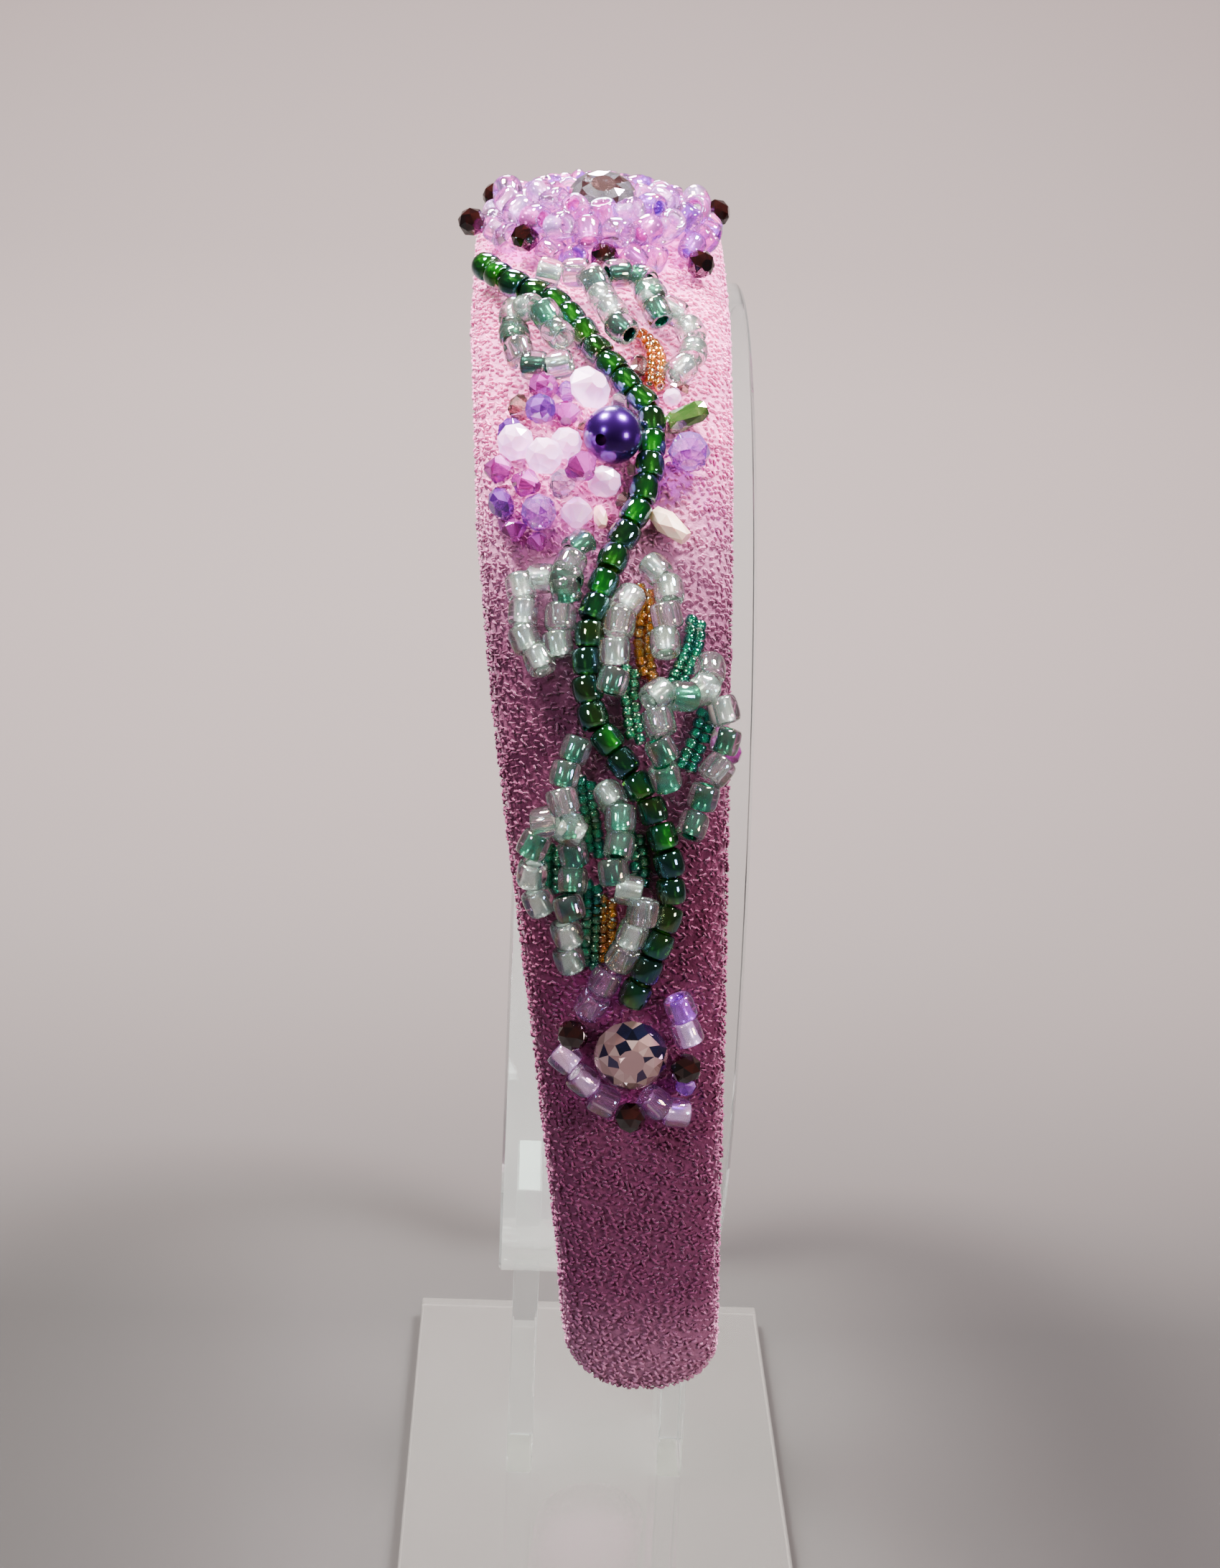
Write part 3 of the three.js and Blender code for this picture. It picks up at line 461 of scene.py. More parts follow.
# The ground under the tufts is a darker copy of the pile: painted shade deep between the loops
velour_shaded_ground = velour("velour ground with painted shade", 0.5, 0.74)
velour_pile = velour("velour pile", 0.68, 1.2)


def rounded(value, power):
    """Signed power, for rounded square sections."""
    return math.copysign(abs(value) ** (2 / power), value)


def band_stations():
    """Distance, width share and thickness share of each ring of the near leg."""
    straight = LINE_END - TIP_ROUNDING
    stations = [(straight * i / BAND_STEPS, 1.0, 1.0) for i in range(BAND_STEPS + 1)]
    for i in range(1, CAP_STEPS + 1):
        turn = i / CAP_STEPS * math.pi * TIP_TURN
        reach = straight + TIP_ROUNDING * math.sin(turn)
        stations.append((reach, math.cos(turn) ** TIP_NARROWING, math.cos(turn) ** TIP_FLATTENING))
    return stations


def band_ring(bm, along, narrow, flat):
    """One ring of the band's skin."""
    place, out, thickness = line_at(along)
    middle, width = band_row(along)
    ring = []
    for i in range(SECTION_POINTS):
        turn = 2 * math.pi * i / SECTION_POINTS
        across = middle + rounded(math.cos(turn), SECTION_POWER) * width / 2 * narrow
        rise = rounded(math.sin(turn), SECTION_POWER) * thickness / 2 * flat
        spot = in_metres(across, place, out, UNDERSIDE + thickness / 2 + rise)
        # Stuffing gives a soft unevenness on the outer side and none against the strip
        if rise > 0:
            uneven = noise.noise(spot * SOFTNESS_SCALE) * SOFTNESS * MM
            spot += Vector((0, out.x, out.y)) * uneven
        ring.append(bm.verts.new(spot))
    return ring


STATIONS = band_stations()
STATIONS = [(-along, narrow, flat) for along, narrow, flat in reversed(STATIONS[1:])] + STATIONS
STATION_PLACES = [along for along, _, _ in STATIONS]


def band_body():
    """The closed skin of the stuffed band, from the far tip over the crown to the near tip."""
    bm = bmesh.new()
    rings = [band_ring(bm, *station) for station in STATIONS]
    bridge(bm, rings, closed=False)
    for ring in (rings[0], rings[-1]):
        bm.faces.new(ring)
    bmesh.ops.recalc_face_normals(bm, faces=bm.faces[:])
    return add_object("velour_band", mesh_from(bm, "velour_band"), velour_shaded_ground)


band = band_body()
print("velour band faces:", len(band.data.polygons))

# %% [markdown]
# ## Loops of the velour
#
# A bump map alone leaves the outline of the cloth smooth, and real velour is rough there.
# So one curled tuft is made and Geometry Nodes plants thousands of them: Poisson spacing
# keeps them apart, each stands on the surface, and most lie across the band in rows.

# %% A tree that plants tufts
TUFT_LENGTH = 1.0
TUFT_THICKNESS = 0.38
TUFT_RISE = 0.46
TUFT_ROOT = -0.15
# The two bends of a tuft: share of its length from the middle, and millimetres to the side
TUFT_BENDS = [(-0.2, 0.14), (0.2, -0.08)]
# Radians that a tuft may lean, its smallest and largest size, and most tufts in a square metre
TUFT_TILT = 0.3
TUFT_SMALLEST, TUFT_LARGEST = 0.75, 1.2
TUFT_DENSITY = 2.5e6


def tuft_mesh():
    """One curled tuft: a three-sided tube that arches up along Z and ends in points."""
    bm = bmesh.new()
    sides = 3
    start = bm.verts.new(Vector((-TUFT_LENGTH / 2, 0, TUFT_ROOT)) * MM)
    end = bm.verts.new(Vector((TUFT_LENGTH / 2, 0, TUFT_ROOT)) * MM)
    rings = []
    for share, sideways in TUFT_BENDS:
        ring = []
        for j in range(sides):
            turn = 2 * math.pi * j / sides + math.pi / 2
            ring.append(bm.verts.new(Vector((
                share * TUFT_LENGTH,
                sideways + math.cos(turn) * TUFT_THICKNESS / 2,
                TUFT_RISE - TUFT_THICKNESS / 2 + math.sin(turn) * TUFT_THICKNESS / 2,
            )) * MM))
        rings.append(ring)
    for j in range(sides):
        k = (j + 1) % sides
        bm.faces.new((start, rings[0][j], rings[0][k]))
        bm.faces.new((rings[0][j], rings[1][j], rings[1][k], rings[0][k]))
        bm.faces.new((end, rings[1][k], rings[1][j]))
    bmesh.ops.recalc_face_normals(bm, faces=bm.faces[:])
    return mesh_from(bm, "tuft")


def new_tree(name, inputs):
    """An empty Geometry Nodes tree with geometry in and out and named inputs for its sizes."""
    tree = bpy.data.node_groups.new(name, "GeometryNodeTree")
    tree.interface.new_socket("Geometry", in_out="INPUT", socket_type="NodeSocketGeometry")
    tree.interface.new_socket("Geometry", in_out="OUTPUT", socket_type="NodeSocketGeometry")
    for label, kind in inputs:
        tree.interface.new_socket(label, in_out="INPUT", socket_type=kind)
    return tree, tree.nodes.new("NodeGroupInput").outputs, tree.nodes.new("NodeGroupOutput").inputs


def swayed(tree, rotation, highest, seed):
    """Turns each point at random about its own axes, by up to the highest angles either way."""
    lowest = add_node(tree, "ShaderNodeVectorMath", {0: highest.outputs[0], "Scale": -1.0},
                      operation="SCALE")
    sway = add_node(tree, "FunctionNodeRandomValue", {
        VECTOR_MIN: lowest.outputs[0], VECTOR_MAX: highest.outputs[0], "Seed": seed,
    }, data_type="FLOAT_VECTOR")
    rotated = add_node(tree, "FunctionNodeRotateRotation", {
        "Rotation": rotation, "Rotate By": sway.outputs[VECTOR_VALUE],
    }, rotation_space="LOCAL")
    return rotated.outputs[0]


def copied(tree, original, points, rotation, size, material):
    """Puts a real copy of an object on every point, all of one material."""
    source = add_node(tree, "GeometryNodeObjectInfo", {"Object": original})
    copies = add_node(tree, "GeometryNodeInstanceOnPoints", {
        "Points": points, "Instance": source.outputs["Geometry"], "Rotation": rotation, "Scale": size,
    })
    real = add_node(tree, "GeometryNodeRealizeInstances", {"Geometry": copies.outputs[0]})
    finish = add_node(tree, "GeometryNodeSetMaterial", {"Geometry": real.outputs[0], "Material": material})
    return finish.outputs[0]


def planting_tree():
    """Plants copies of an object on faces, lying mostly across the band."""
    tree, given, result = new_tree("plant tufts", [
        ("Tuft", "NodeSocketObject"), ("Spacing", "NodeSocketFloat"), ("Spread", "NodeSocketFloat"),
        ("Material", "NodeSocketMaterial"), ("Seed", "NodeSocketInt"),
    ])
    bare = add_node(tree, "GeometryNodeInputNamedAttribute", {"Name": "pile"}, data_type="FLOAT")
    spots = add_node(tree, "GeometryNodeDistributePointsOnFaces", {
        "Density Max": TUFT_DENSITY, "Mesh": given["Geometry"], "Distance Min": given["Spacing"],
        "Density Factor": bare.outputs["Attribute"], "Seed": given["Seed"],
    }, distribute_method="POISSON")
    across = add_node(tree, "FunctionNodeAlignRotationToVector", {
        "Vector": (1.0, 0.0, 0.0), "Rotation": spots.outputs["Rotation"],
    }, axis="X", pivot_axis="Z")
    highest = add_node(tree, "ShaderNodeCombineXYZ", {"X": TUFT_TILT, "Y": TUFT_TILT, "Z": given["Spread"]})
    rotation = swayed(tree, across.outputs[0], highest, given["Seed"])
    size = add_node(tree, "FunctionNodeRandomValue", {
        FLOAT_MIN: TUFT_SMALLEST, FLOAT_MAX: TUFT_LARGEST, "Seed": given["Seed"],
    }, data_type="FLOAT")
    planted = copied(tree, given["Tuft"], spots.outputs["Points"], rotation, size.outputs[FLOAT_VALUE],
                     given["Material"])
    tree.links.new(planted, result["Geometry"])
    return tree


def grown(host, tree, values, name):
    """Runs a tree on a host object and returns its result as a plain mesh object."""
    modifier = host.modifiers.new("grow", "NODES")
    modifier.node_group = tree
    for item in tree.interface.items_tree:
        if item.in_out == "INPUT" and item.name in values:
            modifier[item.identifier] = values[item.name]
    graph = bpy.context.evaluated_depsgraph_get()
    mesh = bpy.data.meshes.new_from_object(host.evaluated_get(graph), depsgraph=graph)
    host.modifiers.remove(modifier)
    mesh.name = name
    return add_object(name, mesh)


def remove(*objects):
    """Takes helper objects out of the file."""
    for item in objects:
        bpy.data.objects.remove(item)


# %% Plant the pile in lengths
# No tufts grow where the sine of the turn round the section is below this
PILE_UNDERSIDE = -0.55
# Radians that a tuft may turn away from lying across the band
PILE_SPREAD = 0.9


def pile_share(index, start, end):
    """1 where tufts grow: inside a stretch of the band and not on its flat underside."""
    ring, spot = divmod(index, SECTION_POINTS)
    under = math.sin(2 * math.pi * spot / SECTION_POINTS) < PILE_UNDERSIDE
    return 1.0 if start <= STATION_PLACES[ring] <= end and not under else 0.0


tuft = add_object("tuft", tuft_mesh())
plant = planting_tree()
pile = band.data.attributes.new("pile", "FLOAT", "POINT")
# Name, first and last distance down the near leg (far leg below 0) and spacing of the tufts
PILE_STRETCHES = [
    ("far", -200, -60, 0.84), ("crown", -60, 30, 0.7), ("near", 30, 75, 0.5), ("middle", 75, 120, 0.5),
    ("tip", 120, 200, 0.5),
]
pile_pieces = []
for seed, (stretch, start, end, spacing) in enumerate(PILE_STRETCHES, start=3):
    for vertex in band.data.vertices:
        pile.data[vertex.index].value = pile_share(vertex.index, start, end)
    piece = grown(band, plant, {
        "Tuft": tuft, "Spacing": spacing * MM, "Spread": PILE_SPREAD, "Material": velour_pile, "Seed": seed,
    }, f"velour_pile_{stretch}")
    pile_pieces.append(piece)
    print(piece.name, "triangles:", sum(len(p.vertices) - 2 for p in piece.data.polygons))
remove(tuft)
settle(band, "padded_band")
for piece in pile_pieces:
    settle(piece)

# %% [markdown]
# ## Glass seed beads
#
# A seed bead is a slice of a glass tube, tumbled hot until its edges round. The clear ones
# here are lined: the wall of the hole is painted, and the glass round it magnifies that
# colour. So each bead is a closed ring of clear glass, and the faces of its hole carry the
# lining. A thin metal oxide coat gives the surface its rainbow, which a thin film models.

# %% Bead glass and linings
# How far in from the outline the painted rim shade reaches, on beads and on cut stones
BEAD_RIM_SHADE_BLEND = 0.58
CUT_RIM_SHADE_BLEND = 0.4


def paint_rim_shade(tree, shader, tint, rim_shade, blend):
    """Paints the glass's colour towards a dark rim shade near its outline: painted shade for the dark the
    glass refracts there.
    """
    edge = add_node(tree, "ShaderNodeLayerWeight", {"Blend": blend})
    mix = add_node(tree, "ShaderNodeMix", {
        MIX_A: tint, MIX_B: linear(rim_shade), MIX_FACTOR: edge.outputs["Facing"],
    }, data_type="RGBA")
    tree.links.new(mix.outputs[MIX_RESULT], shader.inputs["Base Color"])


def bead_glass(name, tint, rim_shade, shadow, film_from, film_to, clearness):
    """Coated pressed glass. The coat's thickness, in nanometres, drifts over the beads."""
    material, tree, shader = new_material(name, {
        "Transmission Weight": clearness, "Roughness": 0.03, "IOR": 1.55, "Thin Film IOR": 1.9,
        "Coat Weight": 0.35, "Coat Roughness": 0.02, "Coat IOR": 1.8,
    })
    paint_rim_shade(tree, shader, linear(tint), rim_shade, BEAD_RIM_SHADE_BLEND)
    place = add_node(tree, "ShaderNodeTexCoord").outputs["Object"]
    drift = add_node(tree, "ShaderNodeTexNoise", {"Scale": 260.0, "Detail": 0.0, "Vector": place})
    film = add_node(tree, "ShaderNodeMapRange", {
        "From Min": 0.3, "From Max": 0.7, "To Min": film_from, "To Max": film_to,
        "Value": drift.outputs["Fac"],
    })
    tree.links.new(film.outputs["Result"], shader.inputs["Thin Film Thickness"])
    let_lamps_through(material, shadow)
    return material


def lining(name, shades, metallic, roughness):
    """Paint on the wall of a bead's hole. Each bead draws its shade from the list by its tone."""
    material, tree, shader = new_material(name, {"Metallic": metallic, "Roughness": roughness, "IOR": 1.5})
    tone = add_node(tree, "ShaderNodeAttribute", attribute_name="tone")
    ramp = add_node(tree, "ShaderNodeValToRGB", {"Fac": tone.outputs["Fac"]})
    ramp.color_ramp.interpolation = "CONSTANT"
    fill_ramp(ramp, [(i / len(shades), shade) for i, shade in enumerate(shades)])
    tree.links.new(ramp.outputs["Color"], shader.inputs["Base Color"])
    return material


# Name, tint, painted rim shade, tint of its shadow, thinnest and thickest coat, clearness
clear_glass = bead_glass("clear rainbow bead glass", "FCFFFD", "34483F", "D4DCD8", 170, 420, 0.975)
stem_glass = bead_glass("green iris bead glass", "3C8E34", "0A1E14", "5A8852", 170, 225, 0.98)
lilac_glass = bead_glass("lilac rainbow bead glass", "FFDCFC", "6E2494", "E8CCEC", 150, 300, 0.97)
teal_glass = bead_glass("teal bead glass", "20AC84", "043828", "2FC0A0", 170, 230, 0.97)
amber_glass = bead_glass("amber bead glass", "E88410", "602C02", "B87828", 200, 260, 0.96)
LEAF_SHADES = [
    "0A6A4E", "C4D4CC", "0E7856", "ECF4F0", "06503E",
    "D0DED6", "249474", "F4FAF6", "5A7C24", "1A7066",
]
LILAC_SHADES = ["C87CEC", "FFFFFF", "AC58DC", "FBDCFF", "EC84DC", "9C64D4"]
leaf_lining = lining("green and silver lining", LEAF_SHADES, 0.9, 0.16)
stem_lining = lining("dark green lining", ["0A260A", "227014", "061A1C", "34520A", "082A2C"], 0.3, 0.3)
lilac_lining = lining("violet and silver lining", LILAC_SHADES, 0.8, 0.16)
seed_lining = lining("silver lining", ["DDE7DF", "C8D4CB", "F2F6EE"], 0.95, 0.15)

# %% One bead
BEAD_DIAMETER = 3.9
BEAD_LENGTH = 3.3
BEAD_HOLE = 1.5
BEAD_PITCH = 3.4
LEAF_PITCH = 3.55
SEED_DIAMETER = 1.6
SEED_LENGTH = 1.15
SEED_HOLE = 0.6
SEED_PITCH = 1.25
SEED_GAP = 1.15
# Faces belong to the hole's wall where they lie this share of the glass inside its middle
HOLE_WALL = 0.55


def turned(profile, sides):
    """A bmesh of a closed outline of (radius, height) pairs turned about Z."""
    bm = bmesh.new()
    rings = []
    for i in range(sides):
        turn = 2 * math.pi * i / sides
        rings.append([bm.verts.new((r * math.cos(turn), r * math.sin(turn), h)) for r, h in profile])
    bridge(bm, rings, closed=True)
    bmesh.ops.recalc_face_normals(bm, faces=bm.faces[:])
    return bm


def bead_object(name, diameter, length, hole, power, sides, arcs):
    """A glass bead with its hole along Z, squarer with a higher power. Its hole has lining = 1."""
    middle = (diameter + hole) / 4 * MM
    thick = (diameter - hole) / 4 * MM
    profile = []
    for i in range(arcs):
        turn = 2 * math.pi * (i + 0.5) / arcs
        profile.append((middle + rounded(math.cos(turn), power) * thick,
                        rounded(math.sin(turn), power) * length / 2 * MM))
    mesh = mesh_from(turned(profile, sides), name)
    lined = mesh.attributes.new("lining", "FLOAT", "FACE")
    for polygon in mesh.polygons:
        radius = Vector(polygon.center[:2]).length
        lined.data[polygon.index].value = 1.0 if radius < middle - HOLE_WALL * thick else 0.0
    return add_object(name, mesh)


bead_round = bead_object("bead_round", BEAD_DIAMETER, BEAD_LENGTH, BEAD_HOLE, 2.4, 20, 14)
bead_square = bead_object("bead_square", BEAD_DIAMETER, BEAD_LENGTH, BEAD_HOLE, 3.0, 20, 14)
bead_seed = bead_object("bead_seed", SEED_DIAMETER, SEED_LENGTH, SEED_HOLE, 2.8, 10, 8)

# %% [markdown]
# ## Stringing the beads
#
# A beader threads beads on a curve, so the tree does too: it counts how many fit on each
# curve, puts a point for each, turns the bead to the curve and lets it wobble a little.

# %% A tree that strings beads
def stringing_tree():
    """Strings copies of a bead on every curve of the host's edges."""
    tree, given, result = new_tree("string beads", [
        ("Bead", "NodeSocketObject"), ("Pitch", "NodeSocketFloat"), ("Wobble", "NodeSocketFloat"),
        ("Smallest", "NodeSocketFloat"), ("Largest", "NodeSocketFloat"),
        ("Lined Share", "NodeSocketFloat"),
        ("Glass", "NodeSocketMaterial"), ("Lining", "NodeSocketMaterial"), ("Seed", "NodeSocketInt"),
    ])
    curve = add_node(tree, "GeometryNodeMeshToCurve", {"Mesh": given["Geometry"]})
    length = add_node(tree, "GeometryNodeSplineLength")
    gaps = add_node(tree, "ShaderNodeMath", {
        0: length.outputs["Length"], 1: given["Pitch"],
    }, operation="DIVIDE")
    whole = add_node(tree, "ShaderNodeMath", {0: gaps.outputs[0]}, operation="ROUND")
    ring = add_node(tree, "GeometryNodeInputSplineCyclic")
    ends = add_node(tree, "ShaderNodeMath", {0: 1.0, 1: ring.outputs[0]}, operation="SUBTRACT")
    count = add_node(tree, "ShaderNodeMath", {0: whole.outputs[0], 1: ends.outputs[0]}, operation="ADD")
    spots = add_node(tree, "GeometryNodeCurveToPoints", {
        "Curve": curve.outputs[0], "Count": count.outputs[0],
    }, mode="COUNT")
    tone = add_node(tree, "FunctionNodeRandomValue", {
        FLOAT_MIN: 0.0, FLOAT_MAX: 0.999, "Seed": given["Seed"],
    }, data_type="FLOAT")
    toned = add_node(tree, "GeometryNodeStoreNamedAttribute", {
        "Name": "tone", "Geometry": spots.outputs["Points"], "Value": tone.outputs[FLOAT_VALUE],
    }, data_type="FLOAT", domain="POINT")
    highest = add_node(tree, "ShaderNodeCombineXYZ", {
        "Z": math.pi, "X": given["Wobble"], "Y": given["Wobble"],
    })
    rotation = swayed(tree, spots.outputs["Rotation"], highest, given["Seed"])
    size = add_node(tree, "FunctionNodeRandomValue", {
        FLOAT_MIN: given["Smallest"], FLOAT_MAX: given["Largest"], "Seed": given["Seed"],
    }, data_type="FLOAT")
    strung = copied(tree, given["Bead"], toned.outputs[0], rotation, size.outputs[FLOAT_VALUE],
                    given["Glass"])
    hole = add_node(tree, "GeometryNodeInputNamedAttribute", {"Name": "lining"}, data_type="FLOAT")
    wall = add_node(tree, "FunctionNodeCompare", {
        1: 0.5, 0: hole.outputs["Attribute"],
    }, data_type="FLOAT", operation="GREATER_THAN")
    chosen = add_node(tree, "GeometryNodeInputNamedAttribute", {"Name": "tone"}, data_type="FLOAT")
    painted = add_node(tree, "FunctionNodeCompare", {
        0: chosen.outputs["Attribute"], 1: given["Lined Share"],
    }, data_type="FLOAT", operation="LESS_THAN")
    both = add_node(tree, "FunctionNodeBooleanMath", {
        0: wall.outputs[0], 1: painted.outputs[0],
    }, operation="AND")
    lined = add_node(tree, "GeometryNodeSetMaterial", {
        "Geometry": strung, "Selection": both.outputs[0], "Material": given["Lining"],
    })
    tree.links.new(lined.outputs[0], result["Geometry"])
    return tree


def smooth_path(points, closed=False, pieces=12):
    """Points of a centripetal Catmull-Rom curve through the given ones."""
    count = len(points)
    spans = count if closed else count - 1
    path = []
    for i in range(spans):
        here, ahead = points[i], points[(i + 1) % count]
        behind = points[i - 1] if closed or i > 0 else here * 2 - ahead
        beyond = points[(i + 2) % count] if closed or i + 2 < count else ahead * 2 - here
        step_a = max((here - behind).length ** 0.5, 1e-6)
        step_b = max((ahead - here).length ** 0.5, 1e-6)
        step_c = max((beyond - ahead).length ** 0.5, 1e-6)
        leave = ((here - behind) / step_a - (ahead - behind) / (step_a + step_b)
                 + (ahead - here) / step_b) * step_b
        arrive = ((ahead - here) / step_b - (beyond - here) / (step_b + step_c)
                  + (beyond - ahead) / step_c) * step_b
        for j in range(pieces):
            t = j / pieces
            path.append(here * (2 * t ** 3 - 3 * t ** 2 + 1) + leave * (t ** 3 - 2 * t ** 2 + t)
                        + ahead * (3 * t ** 2 - 2 * t ** 3) + arrive * (t ** 3 - t ** 2))
    return path if closed else path + [points[-1]]


def thread_host(paths):
    """A mesh of bare edges along paths, each a list of points and whether it closes."""
    mesh = bpy.data.meshes.new("threads")
    places, edges = [], []
    for path, closed in paths:
        first = len(places)
        places += path
        edges += [(first + i, first + i + 1) for i in range(len(path) - 1)]
        if closed:
            edges.append((len(places) - 1, first))
    mesh.from_pydata(places, edges, [])
    return add_object("threads", mesh)


STRINGING = stringing_tree()


def string_beads(name, paths, bead, pitch, glass, paint, seed, wobble, sizes=(0.96, 1.03), lined=1.0):
    """Strings beads on paths and returns the plain mesh object. A share of the beads is lined."""
    host = thread_host(paths)
    made = grown(host, STRINGING, {
        "Bead": bead, "Pitch": pitch * MM, "Wobble": wobble, "Lined Share": lined,
        "Smallest": sizes[0], "Largest": sizes[1], "Glass": glass, "Lining": paint, "Seed": seed,
    }, name)
    remove(host)
    return made


def through(rows):
    """An open path through places on the band."""
    return smooth_path([on_band(*row) for row in rows]), False


def side_by_side(places, lift, gap):
    """Two open paths, half a gap to either side of the places."""
    return [
        through([(across + side * gap / 2, along + side * gap / 4, lift) for across, along in places])
        for side in (-1, 1)
    ]


# %% [markdown]
# ## Vine and leaves
#
# The vine is one string of green beads from the crown flower down to the lower flower. Each
# leaf is a loop or two of clear lined beads that arches off the cloth. The places were read
# off the photographed leg, unrolled flat.

# %% Vine
# Places of a string: across, along and lift in millimetres
STEM = [
    (-21.2, 33.2, 3.2), (-18.5, 37.6, 3.0), (-15.7, 39.8, 2.6), (-12.6, 41.9, 2.4), (-9.4, 46.2, 2.3),
    (-5.7, 52.2, 2.3), (-1.8, 57.9, 2.3), (0, 60.4, 2.3), (0.6, 64, 2.3), (0.2, 70, 2.3),
    (-1.3, 75.5, 2.3), (-3.6, 80.8, 2.3), (-6.1, 88.8, 2.3), (-6.7, 95, 2.3), (-5.9, 101, 2.3),
    (-2.9, 105.4, 2.3), (1.3, 111.2, 2.3), (4, 117.8, 2.3), (4.5, 123, 2.3), (3, 128.8, 2.3),
    (0.7, 134.6, 2.3),
]
vine = string_beads("vine_beads", [through(STEM)], bead_round, BEAD_PITCH, stem_glass, stem_lining,
                    seed=11, wobble=0.16)
settle(vine, "vine_stem")

# %% Leaves
LEAVES = {
    "leaf_upper_left": [
        [(-11.7, 50.2, 4.2), (-13.3, 47.4, 4.8), (-15.0, 46.2, 4.8), (-17.2, 44.6, 3.4),
         (-17.2, 48.0, 2.3)],
        [(-17.2, 48.0, 2.3), (-16.4, 51.4, 2.3), (-14.4, 53.8, 2.3), (-11.2, 54.0, 2.6)],
    ],
    "leaf_upper_middle": [
        [(-13.0, 37.8, 3.8), (-9.9, 37.4, 3.6), (-7.2, 39.0, 3.6), (-6.2, 42.4, 3.8), (-4.9, 46, 4.6),
         (-3.5, 49.8, 5.0)],
        [(-7.2, 39.0, 3.6), (-4.4, 38.0, 4.0), (-1.0, 38, 3.6), (0.3, 41, 3.4), (1.2, 44.4, 3.2)],
        [(0.3, 41, 3.4), (3.8, 43.8, 2.6), (5.8, 46.8, 2.3), (5.8, 50.4, 2.3), (4.3, 53.4, 2.3)],
    ],
    "leaf_middle_left": [
        [(-8.2, 80.2, 2.4), (-9.2, 82.8, 3.4), (-9.6, 85.8, 3.4), (-10.2, 89.2, 2.6), (-10.4, 92.6, 2.3)],
        [(-9.6, 85.0, 3.4), (-12.6, 84.4, 2.3), (-15.0, 84.8, 2.3), (-14.8, 88.4, 2.3), (-14.6, 91.6, 2.3),
         (-12.6, 94.6, 2.3)],
    ],
    "leaf_middle_right": [
        [(1.4, 82.8, 2.3), (3, 85.4, 3.0), (2.8, 88.8, 3.4), (2.7, 92.2, 3.4)],
    ],
    "leaf_middle_centre": [
        [(-2.0, 87.4, 3.6), (-3.0, 90.6, 5.0), (-3.5, 94, 5.2), (-3.6, 97.4, 5.0)],
    ],
    "leaf_side": [
        [(8.4, 94.8, 2.3), (7.7, 97.4, 3.6), (5.0, 98.8, 5.0), (1.9, 98.8, 5.6), (2.2, 102.2, 5.4),
         (2.6, 105.2, 5.0), (3.2, 108.2, 3.8)],
        [(7.7, 97.4, 3.6), (10.2, 99.8, 3.6), (10.6, 103.4, 3.2), (9.6, 107.2, 2.6), (8.0, 110.6, 2.4),
         (6.9, 113.9, 2.4)],
    ],
    "leaf_lower_left": [
        [(-7.8, 105.3, 2.7), (-8.9, 107.8, 3.2), (-9.2, 111.2, 3.6), (-8.0, 115, 4.0), (-7.6, 118, 3.0),
         (-7.6, 121.2, 3.2), (-7.9, 124.6, 3.2), (-8, 127.8, 2.6), (-7.6, 130.6, 2.3)],
        [(-8.0, 115, 4.0), (-11.6, 114.2, 2.8), (-12.5, 117.2, 2.6), (-12.5, 120.6, 2.6),
         (-11.6, 123.8, 2.4)],
    ],
    "leaf_lower_centre": [
        [(-3.4, 110.8, 2.6), (-2.0, 113.6, 4.4), (-2.2, 117.2, 4.8), (-2.6, 120.6, 4.8), (0.2, 122.0, 5.4),
         (1.0, 124.7, 5.4), (-0.4, 127.2, 4.4), (-1.2, 129.6, 3.8)],
    ],
}
for seed, (leaf, strings) in enumerate(LEAVES.items(), start=21):
    paths = [through(rows) for rows in strings]
    piece = string_beads(f"{leaf}_beads", paths, bead_square, LEAF_PITCH, clear_glass, leaf_lining, seed,
                         wobble=0.35, lined=0.8)
    settle(piece, leaf)
    print(piece.name, len(piece.data.polygons))

# %% Seed bead fillings
SEED_STRANDS = {
    # strand: lift, and places across and along
    "amber_strand_upper": (1.3, [(-1.2, 46.4), (0.4, 48.2), (1.2, 50.8), (1.0, 53.4), (1.0, 55.2)]),
    "amber_strand_middle": (1.3, [(0.1, 85.2), (0.4, 88.5), (0.1, 92), (0.8, 95.6)]),
    "amber_strand_lower": (1.2, [(-3.2, 123.5), (-3.1, 126), (-3.0, 128.6), (-3.0, 130.8)]),
    "teal_strand_1": (1.3, [(6.6, 88.9), (6.4, 91.4), (5.3, 94.4), (4.2, 97.0)]),
    "teal_strand_2": (1.3, [(-1.4, 95.5), (-1.4, 98), (-1.0, 100.6), (-0.5, 103.4)]),
    "teal_strand_3": (1.3, [(8.2, 100.4), (7.6, 102.6), (6.8, 104.6), (6.0, 106.6)]),
    "teal_strand_4": (1.3, [(-6.4, 109.2), (-6.0, 111.8), (-5.4, 114.6), (-5.0, 117.4)]),
    "teal_strand_5": (1.0, [(-10.0, 117.4), (-10.05, 119.6), (-9.95, 122)]),
    "teal_strand_6": (1.3, [(-0.1, 115.6), (0.6, 118.4), (0.6, 120.8)]),
    "teal_strand_7": (1.3, [(-5.1, 121.8), (-5.0, 125), (-5.0, 128.5), (-5.0, 131.3)]),
}
SEED_GLASS = {"amber": amber_glass, "teal": teal_glass}
